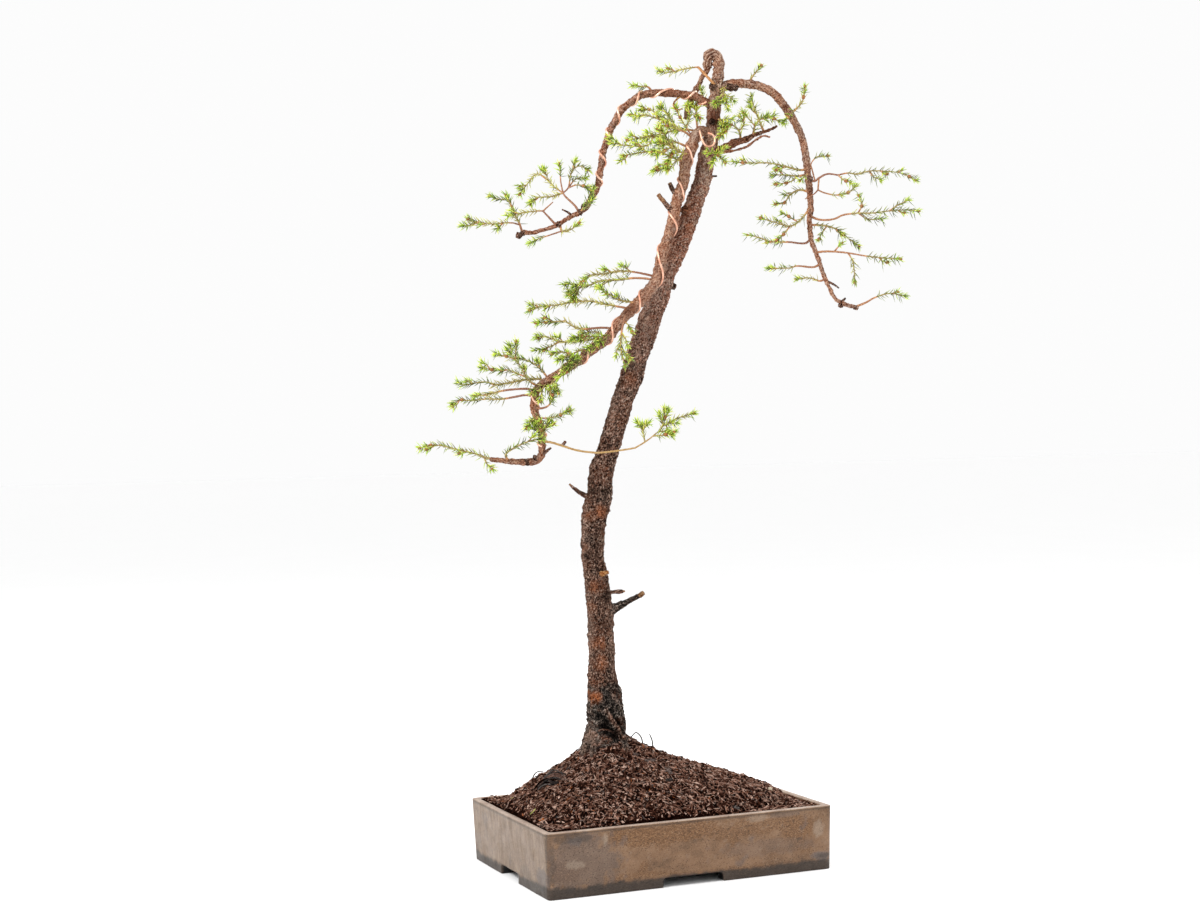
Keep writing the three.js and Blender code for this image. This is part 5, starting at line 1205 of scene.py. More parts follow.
# Short stems that thicken a spray where leaves hide the wood
FILLERS = {
    "limb_hanging": [
        [0, [16, 534, 40], [20, 527, 43], [22, 520, 44]], [0, [15, 524, 41], [11, 517, 43], [10, 511, 44]],
        [0, [15, 520, 41], [20, 513, 42], [24, 508, 42]],
        [0.2, [18, 546, 38], [23, 541, 39], [26, 535, 40]],
    ],
    "limb_left_2": [
        [0, [-24, 580, -7], [-30, 577, -2], [-36, 572, 2]],
        [0, [-26, 580, -8], [-31, 573, -12], [-34, 568, -14]],
        [0, [-28, 579, -8], [-29, 572, -3], [-32, 566, 0]], [0, [4, 588, 3], [-2, 583, 6], [-8, 580, 8]],
        [0, [-20, 581, -5], [-26, 583, 0], [-33, 580, 4]],
    ],
    "limb_left_6": [
        [0, [-2, 526, 31.8], [-12, 530, 36], [-24, 531, 41], [-34, 528, 44]],
        [0, [0, 530, 32], [-10, 535, 32], [-22, 534, 34]],
        [0, [-2, 527, 32], [-8, 521, 38], [-18, 519, 43]], [0, [6, 535, 31], [0, 530, 38], [-8, 524, 42]],
    ],
    "limb_left_7": [
        [0, [-46, 493, 40], [-42, 499, 46], [-38, 505, 49], [-32, 510, 50]],
        [0, [-38, 499, 39], [-36, 506, 43], [-38, 513, 45]],
        [0, [-30, 504, 38], [-34, 500, 44], [-42, 496, 48]],
    ],
    "lower_left_1": [
        [0, [-62, 482, 42], [-58, 476, 47], [-54, 468, 49]],
        [0, [-60, 484, 42], [-64, 476, 48], [-66, 466, 50]],
        [0, [-55, 487, 42], [-50, 482, 47], [-48, 474, 49]],
        [0, [-64, 483, 42], [-70, 478, 47], [-74, 474, 49]],
    ],
    "lower_left_6": [
        [0, [-64, 429, 45], [-69, 437, 48], [-73, 446, 49]],
        [0, [-64, 429, 45], [-61, 438, 48], [-57, 446, 49]],
        [0, [-65, 427, 45], [-65, 436, 49], [-65, 445, 51]],
        [0, [-66, 433, 45], [-60, 439, 49], [-53, 443, 49]],
        [0, [-66, 435, 45], [-72, 439, 48], [-79, 440, 49]],
    ],
    "left_pad_lower": [
        [0, [-25, 656, 27], [-20, 664, 29], [-16, 672, 29], [-12, 679, 28]],
        [0, [-25, 656, 27], [-18, 662, 30], [-13, 668, 31]],
    ],
    "crown_left_front": [
        [0, [75, 715, 24], [66, 712, 32], [60, 704, 38]], [0, [66, 720, 34], [60, 730, 38], [55, 738, 42]],
        [0, [66, 720, 34], [58, 716, 40], [50, 712, 44]], [0, [78, 714, 18], [70, 706, 24], [62, 697, 28]],
        [0, [72, 716, 28], [64, 724, 32], [56, 722, 36]],
    ],
    "right_inner_2": [[0, [201.6, 693, -11], [197, 689, -5], [194, 686, 0]]],
    "trunk_tuft_upper": [
        [0, [118, 772, 7], [124, 770, 10], [128, 766, 12]],
        [0, [117, 771, 9], [112, 768, 13], [109, 763, 15]],
        [0, [118, 770, 9], [121, 763, 13], [122, 757, 15]],
        [0, [112, 748, 2], [118, 745, 8], [121, 741, 12]],
        [0, [114, 747, 5], [120, 748, 10], [126, 748, 12]],
        [0, [114, 747, 5], [117, 738, 11], [116, 733, 14]],
    ],
    "trunk_tuft_lower": [
        [0, [110, 713, 11], [105, 715, 15], [102, 715, 17]],
        [0, [110, 713, 11], [116, 717, 14], [118, 719, 15]],
        [0, [110, 713, 11], [109, 708, 15], [107, 704, 17]],
        [0, [110, 713, 12], [116, 708, 15], [119, 705, 16]],
    ],
    "crown_left_top": [
        [0.3, [88, 728, 7], [80, 740, 6], [74, 750, 4], [70, 760, 2]],
        [0, [80, 740, 6], [84, 750, 2], [82, 760, -2]],
        [0.2, [79, 735, 12], [70, 738, 17], [60, 741, 19], [54, 741, 20]],
    ],
    "crown_upright": [
        [0, [90, 757, -1], [85, 761, 2], [81, 762, 4]], [0, [90, 757, -1], [95, 762, 0], [98, 765, 1]],
        [0, [99, 762, -8], [97, 770, -9], [95, 777, -9]], [0, [90, 756, 0], [92, 752, 5], [94, 749, 8]],
    ],
    "front_twig": [
        [0, [52, 435, 27.5], [58, 436, 30], [63, 434, 32]],
        [0, [57, 441, 26], [63, 444, 28], [70, 444, 30]], [0, [60, 442, 26], [62, 437, 30], [66, 432, 33]],
        [0, [37, 436, 29], [33, 442, 31], [31, 445, 32]], [0, [37, 436, 29], [40, 442, 32], [43, 444, 33]],
        [0, [57, 441, 26], [55, 448, 27], [53, 453, 28]],
    ],
}
# How far apart the short side shoots stand, and how far where they are close
SHOOT_SPACING = 26
CLOSE_SHOOTS = {
    "crown_left": 14, "inner_right": 14, "trunk": 16, "crown_up": 16, "limb_left": 16, "lower_left": 16,
}
wood_limbs = [Limb.laid(stations, 4.0) for stations in (
    TRUNK, LEADER, LEFT_BRANCH, RIGHT_BRANCH, INNER_BRANCH, ARCHED_LIMB,
)]
wood_places = np.concatenate([limb.place for limb in wood_limbs])
wood_radii = np.concatenate([limb.radius for limb in wood_limbs])


def clear_of_wood(base, tip):
    """Whether each needle stays out of the wood from a third of its length on."""
    is_clear = np.ones(len(base), bool)
    for share in (0.35, 0.65, 1.0):
        spot = base + (tip - base) * share
        gap = np.linalg.norm(spot[:, None] - wood_places[None], axis=2) - wood_radii[None]
        is_clear &= gap.min(1) > CLEARANCE
    return is_clear


def grow_needles(shape, limb, bare, has_tip, draw, manner):
    """Short needles laid forward along the old wood, some long ones that hang, and a dense
    bright tuft at a free tip."""
    dense, long, light = manner
    start = max(limb.length * bare, 1.5)
    leafy = limb.length - start
    count = int(leafy * OLD_PER_MM * dense)
    # A random tone for the stem, shifted up by painted light or down by painted shade, as its manner gives.
    shade = draw.choice([-0.1, 0.05, 0.25]) + light
    olive = draw.choice([0.05, 0.25, 0.6])
    if bare < 1 and count > 0:
        run = start + leafy * (np.arange(count) + draw.random(count)) / count
        young = np.exp(-(limb.length - run) / TUFT_LENGTH) if has_tip else np.zeros(count)
        angle = np.arange(count) * GOLDEN_ANGLE + draw.normal(0, 0.3, count)
        lean = 0.85 + draw.normal(0, 0.24, count)
        length = (5.2 + 4.2 * draw.random(count)) * long
        bright = np.where(draw.random(count) < 0.35, 0.0, 0.35 + 0.4 * draw.random(count))
        tone = np.clip(shade + 0.4 * young + bright, 0, 1)
        add_needles(shape, limb, run, angle, lean, length, tone, draw, olive=olive * (1 - young))
        count = int(leafy * draw.choice([0.08, 0.3]))
        run = start + leafy * draw.random(count)
        lean = 1.1 + draw.normal(0, 0.15, count)
        length = 7.5 + 3.5 * draw.random(count)
        angle, tone = draw.random(count) * 6.28, 0.3 * draw.random(count)
        add_needles(shape, limb, run, angle, lean, length, tone, draw, 0.75, -0.55)
    if bare < 1 and has_tip:
        reach = min(TUFT_LENGTH, leafy)
        count = int(reach * TUFT_PER_MM * dense)
        run = limb.length - reach * draw.random(count) ** 1.4
        angle = np.arange(count) * GOLDEN_ANGLE
        lean = 0.15 + 1.3 * draw.random(count)
        length = (5.4 + 3.4 * draw.random(count)) * long
        add_needles(shape, limb, run, angle, lean, length, 0.3 + 0.7 * draw.random(count), draw)


def add_needles(shape, limb, run, angle, lean, length, tone, draw, width=1.0, lift=0.12, olive=0.0):
    """Needles at some lengths along a limb, but not those that would run into the wood."""
    place, along, side, across = limb.frames_at(run)
    out = np.cos(angle)[:, None] * side + np.sin(angle)[:, None] * across
    direction = unit(along * np.cos(lean)[:, None] + out * np.sin(lean)[:, None] + UP * lift)
    bend = along * (length * 0.14)[:, None] + draw.normal(0, 0.35, (len(run), 3))
    keep = clear_of_wood(place, place + direction * length[:, None] + bend)
    wide = NEEDLE_WIDTH * width * (0.8 + 0.4 * draw.random(len(run)))
    olive = np.broadcast_to(olive, tone.shape)
    values = [values[keep] for values in (place, direction, length, bend, wide, tone, olive)]
    place, direction, length, bend, wide, tone, olive = values
    if len(place):
        marks = {"tone": tone, "olive": olive}
        strands(shape, place, direction, length, bend, wide, NEEDLE_PROFILE, 3, flatness=0.8, **marks)


def grow_twig(shape, limb, tone, draw):
    """The twig itself, rough with the pegs that needles stand on."""
    pegs = 0.16 * draw.random((len(limb.run), TWIG_SIDES)) * (0.6 + limb.radius[:, None])
    tone = np.repeat(tone[:, None], TWIG_SIDES, 1)
    skin(shape, limb, TWIG_SIDES, limb.radius[:, None] + pegs, 1, tone=tone, tip=0.0, olive=0.0)


def add_bud(shape, limb, run, size, draw):
    """A bud of five scales that close over each other."""
    place, along, _, _ = (values[None] for values in limb.frames_at(run))
    scales = 5
    angle = np.arange(scales) * 2 * math.pi / scales + draw.random()
    side = unit(np.cross(along, TO_VIEWER))
    out = np.cos(angle)[:, None] * side + np.sin(angle)[:, None] * np.cross(along, side)
    base = np.repeat(place - along * size * 0.5, scales, 0) + out * size * 0.18
    direction = unit(np.repeat(along, scales, 0) + out * 0.25)
    strands(
        shape, base, direction, np.full(scales, size * 1.5), -out * size * 0.25, np.full(scales, size * 0.8),
        (0.5, 1.0, 0.9, 0.5, 0.0), 5, 2, tone=np.ones(scales), olive=np.zeros(scales),
    )


def grow_stem(shape, limb, bare, has_tip, draw, manner, shade=0.0):
    """A twig with its needles, and with buds where it has a free tip."""
    leafy = smooth(limb.run, limb.length * bare - 4, limb.length * bare + 6) if bare < 1 else limb.run * 0
    grow_twig(shape, limb, leafy + shade, draw)
    grow_needles(shape, limb, bare, has_tip, draw, manner)
    if has_tip and bare < 1:
        if draw.random() < 0.6:
            add_bud(shape, limb, limb.length + 0.5, 1.7 + 1.3 * draw.random(), draw)
        if limb.length > 18 and draw.random() < 0.45:
            add_bud(shape, limb, limb.length - 7 - 5 * draw.random(), 3.0, draw)


def grow_side_shoots(shape, limb, bare, spacing, draw, manner):
    """Short bright shoots that leave a stem to either side."""
    start = max(limb.length * bare, 4)
    count = int((limb.length - start) / spacing)
    for i in range(count):
        run = start + (i + 0.2 + 0.6 * draw.random()) * (limb.length - start) / count
        place, along, side, across = limb.frames_at(run)
        angle = draw.choice([-1, 1]) * (1.57 + draw.normal(0, 0.5))
        out = math.cos(angle) * side + math.sin(angle) * across
        length = 5 + 5 * draw.random()
        way = unit(along * 0.75 + out * 0.8 + UP * 0.15)
        points = np.stack([place, place + way * length * 0.5, place + unit(way + along * 0.5) * length])
        if clear_of_wood(points[1:2], points[2:3])[0]:
            twig = Limb(points, np.array([0.7, 0.6, 0.45]), TWIG_STEP)
            grow_stem(shape, twig, 0.25, True, draw, manner)


def build_sprays():
    """One piece for each spray: its stems, with needles, buds and short side shoots."""
    for name, stems in SPRAYS.items():
        shape = Shape()
        draw = seeded(name)
        manner = MANNERS.get(name) or MANNERS[name.split("_")[0]]
        spacing = next((gap for start, gap in CLOSE_SHOOTS.items() if name.startswith(start)), SHOOT_SPACING)
        stems = stems + FILLERS.get(name, [])
        starts = {str(stem[1]) for stem in stems}
        for order, (bare, *places) in enumerate(stems):
            has_tip = str(places[-1]) not in starts
            ends = (SIDE_TWIG if order else MAIN_TWIG, TWIG_TIP if has_tip else SIDE_TWIG)
            if order == 0:
                ends = THICK_TWIGS.get(name, ends)
            radii = np.linspace(*ends, len(places))
            limb = Limb(seen(places), radii, TWIG_STEP)
            grow_stem(shape, limb, bare, has_tip, draw, manner, TWIG_TONES.get(name, 0.2 * draw.random()))
            if bare < 1 and has_tip:
                grow_side_shoots(shape, limb, max(bare, 0.25), spacing, draw, manner)
        mesh = make_mesh(f"{name}_needles", shape)
        add_piece(f"{name}_needles", mesh, [NEEDLES, TWIG, BUD], "needles", name)


# The soil: a rough mound, covered with crumbs and fibres

SOIL_EDGE = POT_HEIGHT - 2
MOUND_X = -40
LUMP_SCALE, LUMP_HEIGHT = 0.1, 2.8
MOUND_RISE, MOUND_CORNERS, MOUND_POINT, MOUND_SHOULDER = 76, 2.6, 0.66, 0.73
FOOT_COLLAR, COLLAR_REACH = 8, 34
SOIL_GRID = 1.7
CRUMBS, CRUMB_MARGIN = 21000, 1.8
FIBRES, FIBRE_MARGIN = 5000, 6.5
FIBRE_LIFT = 0.12
FIBRE_PROFILE = (0.7, 1.0, 0.9, 0.6, 0.0)
trunk_foot = Limb.laid(TRUNK[:8], 2.0)


def mound_height(x, y):
    reach = np.where(x < MOUND_X, INNER_LENGTH / 2 + MOUND_X, INNER_LENGTH / 2 - MOUND_X)
    u, v = np.abs(x - MOUND_X) / reach, np.abs(y) / (INNER_WIDTH / 2)
    out = np.minimum((u ** MOUND_CORNERS + v ** MOUND_CORNERS) ** (1 / MOUND_CORNERS), 1)
    edge = SOIL_EDGE + 1.7 * smooth(-x, -60, 40)
    collar = FOOT_COLLAR * np.exp(-((x - MOUND_X) ** 2 + y ** 2) / COLLAR_REACH ** 2)
    return edge + MOUND_RISE * (1 - out ** MOUND_POINT) ** MOUND_SHOULDER + collar


def ground_lump(x, y):
    """How far the ground is raised or sunk at a place, from -1 to 1."""
    return noise.fractal((x * LUMP_SCALE, y * LUMP_SCALE, 3.0), 0.7, 2.1, 5)


def mound_slope(x, y):
    """The way up out of the mound at each place."""
    dx = (mound_height(x + 1, y) - mound_height(x - 1, y)) / 2
    dy = (mound_height(x, y + 1) - mound_height(x, y - 1)) / 2
    return unit(np.stack([-dx, -dy, np.ones_like(dx)], -1))


def turned_on(up, draw):
    """A direction at each place that lies on the slope there, turned any way."""
    turn = draw.uniform(0, 2 * math.pi, len(up))[:, None]
    flat = unit(np.cross(up, [[0.3, 1.0, 0.1]]))
    return flat * np.cos(turn) + np.cross(up, flat) * np.sin(turn)


def soil_places(count, draw, margin):
    """Scattered places on the mound, clear of the pot's walls and of the trunk."""
    x = draw.uniform(-INNER_LENGTH / 2 + margin, INNER_LENGTH / 2 - margin, count)
    y = draw.uniform(-INNER_WIDTH / 2 + margin, INNER_WIDTH / 2 - margin, count)
    spot = np.stack([x, y, mound_height(x, y)], 1)
    trunk, radius = trunk_foot.place, trunk_foot.radius
    gap = (np.linalg.norm(spot[:, None] - trunk[None], axis=2) - radius[None]).min(1)
    return spot[gap > -1.0]


def build_soil_bed():
    """The ground under the crumbs, with walls down to the pot's floor. It is dark, painted shade that shows
    in the gaps between the crumbs.
    """
    shape = Shape()
    columns = int(INNER_LENGTH / SOIL_GRID)
    rows = int(INNER_WIDTH / SOIL_GRID)
    across = np.linspace(-INNER_LENGTH / 2 + SEAT, INNER_LENGTH / 2 - SEAT, columns)
    deep = np.linspace(-INNER_WIDTH / 2 + SEAT, INNER_WIDTH / 2 - SEAT, rows)
    x, y = (grid.ravel() for grid in np.meshgrid(across, deep))
    z = mound_height(x, y)
    tone = np.empty(len(z))
    for i, (px, py) in enumerate(zip(x.tolist(), y.tolist())):
        lumps = ground_lump(px, py)
        crumb = noise.voronoi((px * 0.34, py * 0.34, 0.5))[0]
        inside = min(1, (INNER_LENGTH / 2 - abs(px)) / 8, (INNER_WIDTH / 2 - abs(py)) / 8)
        z[i] += (0.3 + 0.7 * inside) * LUMP_HEIGHT * lumps + 1.4 * (crumb[1] - crumb[0]) - 0.9
        # Paler on raised cells and lumps, darker at the sunk edges between cells: painted light and painted
        # shade.
        tone[i] = 0.22 * (crumb[1] - crumb[0]) + 0.08 * lumps
    i = np.arange(rows - 1)[:, None] * columns + np.arange(columns - 1)
    quads = np.stack([i, i + 1, i + columns + 1, i + columns], -1).reshape(-1, 4)
    shape.add(np.stack([x, y, z], 1), [quads], tone=tone)
    rim = np.concatenate([
        np.arange(columns), np.arange(1, rows) * columns + columns - 1,
        (rows - 1) * columns + np.arange(columns - 2, -1, -1), np.arange(rows - 2, 0, -1) * columns,
    ])
    top = np.stack([x[rim], y[rim], z[rim]], 1)
    low = top * [1, 1, 0] + [0, 0, FLOOR_TOP + SEAT]
    a, b = np.arange(len(rim)), (np.arange(len(rim)) + 1) % len(rim)
    walls = np.stack([b, a, a + len(rim), b + len(rim)], 1)
    shape.add(np.concatenate([top, low]), [walls, (a[::-1] + len(rim))[None]], tone=0.1)
    add_piece("soil_bed", make_mesh("soil_bed", shape), [SOIL], "soil", "soil")


OCTAHEDRON = np.array([(1, 0, 0), (-1, 0, 0), (0, 1, 0), (0, -1, 0), (0, 0, 1), (0, 0, -1)])
OCTAHEDRON_FACES = np.array([
    (0, 2, 4), (2, 1, 4), (1, 3, 4), (3, 0, 4), (2, 0, 5), (1, 2, 5), (3, 1, 5), (0, 3, 5),
])


def add_crumbs(shape, middle, up, size, draw, **marks):
    """Rough lumps, each lying along the surface that it is on. size is long, wide and thick."""
    count = len(middle)
    along = turned_on(up, draw)
    tilted = unit(up + draw.normal(0, 0.28, (count, 3)))
    wide = unit(np.cross(tilted, along))
    along = np.cross(wide, tilted)
    lump = (OCTAHEDRON[None] + draw.normal(0, 0.22, (count, 6, 3))) * size[:, None] / 2
    frames = np.stack([along, wide, tilted], 1)
    vertices = np.einsum("nvk,nkj->nvj", lump, frames) + middle[:, None]
    faces = (OCTAHEDRON_FACES[None] + (np.arange(count) * 6)[:, None, None]).reshape(-1, 3)
    marks = {mark: np.repeat(values, 6) for mark, values in marks.items()}
    shape.add(vertices.reshape(-1, 3), [faces], **marks)


def build_crumbs():
    draw = seeded("crumbs")
    middle = soil_places(CRUMBS, draw, CRUMB_MARGIN)
    up = mound_slope(middle[:, 0], middle[:, 1])
    count = len(middle)
    long = 2.2 + 4.2 * draw.random(count) ** 2
    size = np.stack([long, long * draw.uniform(0.22, 0.4, count), long * draw.uniform(0.2, 0.38, count)], 1)
    lumps = np.array([ground_lump(x, y) for x, y, _ in middle.tolist()])
    middle = middle + up * (size[:, 2:] * 0.25 + LUMP_HEIGHT * lumps[:, None])
    tone = np.clip(draw.normal(0.45, 0.29, count) + 0.35 * (draw.random(count) < 0.05), 0, 1)
    orange = np.where(draw.random(count) < 0.02, 0.5, 0.0)
    ashen = np.where(draw.random(count) < 0.05, 0.7, 0.0)
    shape = Shape()
    add_crumbs(shape, middle, up, size, draw, tone=tone, orange=orange, ashen=ashen)
    add_piece("soil_crumbs", make_mesh("soil_crumbs", shape, False), [SOIL], "soil", "soil")


def build_fibres():
    """Bent strands that lie on the soil, each turned its own way."""
    draw = seeded("fibres")
    base = soil_places(FIBRES, draw, FIBRE_MARGIN)
    up = mound_slope(base[:, 0], base[:, 1])
    count = len(base)
    length = 3 + 8 * draw.random(count) ** 2
    width = draw.uniform(0.35, 0.9, count)
    tone = np.clip(draw.normal(0.66, 0.2, count), 0.1, 1)
    direction = unit(turned_on(up, draw) + up * draw.normal(FIBRE_LIFT, 0.16, count)[:, None])
    bend = np.cross(up, direction) * (length * draw.normal(0, 0.28, count))[:, None]
    bend -= up * (length * FIBRE_LIFT * 1.1)[:, None]
    start = base - direction * length[:, None] / 2 + up * 0.9
    shape = Shape()
    strands(shape, start, direction, length, bend, width, FIBRE_PROFILE, 4, tone=tone)
    add_piece("soil_fibres", make_mesh("soil_fibres", shape), [SOIL], "soil", "soil")


# The pot

POT_LEAN = 2
POT_GRAIN = 2.0
POT_CORNER = 6
FACE_DEPTH = 4.5
# Places on the glaze: side (front or end), across, height, half width, half height, mark, amount
GLAZE_PLACES = [
    ("front", -58, 52, 36, 13, "rusty", 1.0), ("front", -10, 52, 46, 12, "rusty", 1.0),
    ("front", 60, 50, 50, 10, "rusty", 0.7), ("front", 112, 44, 22, 18, "rusty", 0.9),
    ("front", -127, 24, 22, 10, "rusty", 0.9), ("front", -60, 14, 40, 5, "rusty", 0.6),
    ("front", 30, 10, 70, 4, "rusty", 0.5), ("front", -146, 40, 6, 30, "worn", 0.45),
    ("front", -128, 56, 26, 5, "worn", 0.5), ("front", -121, 53, 8, 5, "ashen", 1.0),
    ("front", -134, 44, 14, 9, "ashen", 0.5), ("front", -112, 32, 44, 34, "ashen", 0.6),
    ("front", -112, 32, 40, 30, "worn", 0.07), ("front", -90, 53, 3, 9, "scuffed", 0.9),
    ("front", -120, 31, 10, 5, "scuffed", 0.8), ("front", 68, 57, 13, 4, "scuffed", 0.7),
    ("front", 134, 41, 7, 9, "scuffed", 0.8), ("front", 113, 32.5, 4, 1.4, "worn", 0.7),
    ("front", 138, 14, 12, 6, "ashen", 1.0), ("front", 140, 14, 10, 3.5, "worn", 0.6),
    ("front", 80, 28, 60, 9, "ashen", 0.3), ("front", 100, 58, 20, 3, "ashen", 0.5),
    ("end", -97, 18, 16, 12, "ashen", 0.9), ("end", -50, 16, 20, 8, "worn", 0.3),
    ("end", 100, 20, 14, 12, "ashen", 0.4),
]


def box_mesh(length, width, height, z=0.0):
    """An upright box in the middle that stands at a height, in millimetres."""
    form = bmesh.new()
    bmesh.ops.create_cube(form, size=1)
    bmesh.ops.scale(form, vec=(length, width, height), verts=form.verts)
    bmesh.ops.translate(form, vec=(0, 0, z + height / 2), verts=form.verts)
    return from_form("box", form)


def drain_mesh(x):
    form = bmesh.new()
    bmesh.ops.create_cone(
        form, cap_ends=True, segments=40, radius1=DRAIN_RADIUS, radius2=DRAIN_RADIUS, depth=60,
        matrix=Matrix.Translation((x, 0, 10)),
    )
    return from_form("drain", form)


def applied(thing):
    """The thing's mesh with its modifiers applied."""
    view = bpy.context.evaluated_depsgraph_get()
    mesh = bpy.data.meshes.new_from_object(thing.evaluated_get(view), depsgraph=view)
    thing.modifiers.clear()
    thing.data = mesh
    return mesh


def glaze_marks(places):
    """How rusty, ashen, scuffed and worn the glaze is at each place of the pot, and where its underside is,
    which is painted near black: bare clay and painted shade under the pot."""
    x, y, z = places.T
    waves = np.array([
        [
            noise.fractal([v * 0.05 for v in spot], 0.8, 2.1, 4),
            noise.fractal([v * 0.16 + 7 for v in spot], 0.7, 2.1, 4),
        ]
        for spot in places.tolist()
    ])
    slow, quick = waves.T
    edge_x, edge_y = POT_LENGTH / 2 - np.abs(x), POT_WIDTH / 2 - np.abs(y)
    on_front, on_end = edge_y < FACE_DEPTH, edge_x < FACE_DEPTH
    marks = {
        "rusty": smooth(slow, 0.25, 0.6) * 0.7, "ashen": smooth(-slow, 0.5, 0.9) * 0.6,
        "scuffed": smooth(quick, 0.5, 0.9) * 0.35,
        "worn": smooth(10.4 + 2.4 * slow + 1.3 * quick - z, -1.6, 1.6),
        # The underside, painted near black as painted shade under the pot.
        "under": smooth(np.minimum(edge_x, edge_y) - POT_LEAN, 1.5, 3.0) * smooth(FOOT_HEIGHT + 2 - z, 0, 1),
    }
    for side, middle, height, half_width, half_height, mark, amount in GLAZE_PLACES:
        across, inside = (x, on_front & (y < 0)) if side == "front" else (y, on_end & (x < 0))
        gap = np.hypot((across - middle) / half_width, (z - height) / half_height)
        patch = smooth(1 + 0.35 * quick + 0.25 * slow - gap, 0.0, 0.3)
        marks[mark] = np.maximum(marks[mark], inside * amount * patch)
    corner = smooth(3.6 - np.maximum(edge_x, edge_y), 0, 2) * 0.75
    band = smooth(POT_HEIGHT - 1.2 - z, 0.0, 0.8) * smooth(z, POT_HEIGHT - 4.5, POT_HEIGHT - 2)
    below_rim = band * (on_front | on_end) * 0.7
    marks["worn"] = np.maximum(marks["worn"], np.maximum(corner * (z < POT_HEIGHT - 1), below_rim))
    return marks


def cut_pot():
    """The pot cut out of a box, then remeshed and softened."""
    thing = new_object("pot_blank", box_mesh(POT_LENGTH, POT_WIDTH, POT_HEIGHT))
    hollow_length, hollow_width = (side - 2 * (POT_LEAN + FOOT_THICKNESS) for side in (POT_LENGTH, POT_WIDTH))
    space = FOOT_HEIGHT * 2
    for mesh in (
        box_mesh(INNER_LENGTH, INNER_WIDTH, POT_HEIGHT, FLOOR_TOP),
        box_mesh(hollow_length, hollow_width, space, -FOOT_HEIGHT),
        box_mesh(FRONT_ARCH, POT_WIDTH + 20, space, -FOOT_HEIGHT),
        box_mesh(POT_LENGTH + 20, END_ARCH, space, -FOOT_HEIGHT),
        drain_mesh(-DRAIN_PLACE), drain_mesh(DRAIN_PLACE),
    ):
        cutter = new_object("cutter", mesh)
        cut = thing.modifiers.new("cut", "BOOLEAN")
        cut.object, cut.solver = cutter, "EXACT"
        applied(thing)
        bpy.data.objects.remove(cutter)
    remesh = thing.modifiers.new("clay", "REMESH")
    remesh.mode, remesh.voxel_size = "VOXEL", POT_GRAIN
    soften = thing.modifiers.new("soft", "SMOOTH")
    soften.factor, soften.iterations = 0.5, 4
    mesh = applied(thing)
    bpy.data.objects.remove(thing)
    return mesh


def build_pot():
    """The pot as hand-made clay: it leans in toward its feet, and is wavy and dented a little."""
    mesh = cut_pot()
    places = read_places(mesh).astype(float)
    low, high = places.min(0), places.max(0)
    places[:, 2] = (places[:, 2] - low[2]) * POT_HEIGHT / (high[2] - low[2])
    lean = POT_LEAN * (1 - places[:, 2:] / POT_HEIGHT)
    places[:, :2] *= 1 - 2 * lean / [POT_LENGTH, POT_WIDTH]
    for i, spot in enumerate(places.tolist()):
        wave = noise.fractal([v * 0.03 for v in spot], 1.0, 2.0, 3)
        dent = noise.fractal([v * 0.2 for v in spot], 0.8, 2.0, 2)
        places[i] += places[i] * [1, 1, 0] / 120 * (0.35 * wave + 0.08 * dent)
    half = np.array([POT_LENGTH, POT_WIDTH]) / 2
    places[:, :2] = np.clip(places[:, :2], -half, half)
    over = np.maximum(np.abs(places[:, :2]) - (half - lean - POT_CORNER), 0)
    reach = np.hypot(*over.T)
    pull = np.where((over.min(1) > 0) & (reach > POT_CORNER), 1 - POT_CORNER / np.maximum(reach, 1e-6), 0)
    places[:, :2] -= np.sign(places[:, :2]) * over * pull[:, None]
    for mark, values in glaze_marks(places).items():
        write_mark(mesh, mark, values)
    mesh.vertices.foreach_set("co", ((places + POT_MIDDLE) * MM).astype(np.float32).ravel())
    set_smooth(mesh)
    mesh.update()
    add_piece("pot_glazed", mesh, [GLAZE], "pot_glaze", "pot")


# Bits that lie on the soil

# Litter on the soil: across, height, length, width, degrees that it is turned, rise, bend, kind
# (1 is a dry needle, 2 a paler one and 3 a rust-coloured bit) and tone
LITTER = [
    (-95, 66, 9, 1.8, 30, 0.3, 1, 2, 1.0), (-76, 50, 9, 1.3, 20, 0.7, -2, 1, 0.4),
    (-14, 122, 6, 1.2, 10, 0.2, 0, 1, 0.8), (16, 121, 6, 1.3, 30, 0.2, 0, 1, 1.0),
    (18, 119, 5, 1.2, 150, 0.2, 0, 1, 0.9), (-67, 44, 6, 1.8, 0, 0.2, 0, 3, 0.8),
    (-64, 45, 5, 1.8, 60, 0.2, 0, 3, 0.6),
]
# Root hairs that stand up from the soil: [across, height], from the end that is in the soil
HAIRS = [
    [[37, 121], [35, 130], [30, 134.5], [25, 130]], [[47, 120], [46, 127], [43.5, 133]],
    [[-73, 82], [-73, 90], [-69, 95], [-63, 96]], [[-71, 83], [-70, 89], [-66, 92], [-60, 93]],
    [[27, 124], [23, 127], [19, 126]],
]
# A clump of dark dead roots, which arch from its far left to its near right: how many, and its
# middle as [across, height]
ROOT_CLUMP_SIZE = 30
ROOT_CLUMP = (-54, 86)
# Lumps on the soil: across, height, size, grey share, tone
LUMPS = [
    (43, 106, (10, 5, 3), 0.8, 0.5), (60, 95, (13, 4, 4), 0.8, 0.6), (64, 92, (4, 12, 4), 0.8, 0.6),
    (75, 112, (8, 6, 5), 0.2, 0.1), (130, 58, (6, 5, 4), 1.0, 0.7), (64, 86, (7, 5, 4), 0.3, 0.0),
    (-5, 118, (7, 5, 4), 0.2, 0.05), (-88, 76, (6, 4, 4), 0.1, 0.1), (-58, 86, (10, 8, 6), 0.2, 0.0),
    (-50, 83, (9, 7, 5), 0.2, 0.0), (30, 112, (6, 4, 3), 0.6, 0.4), (100, 84, (6, 5, 4), 0.1, 0.2),
]
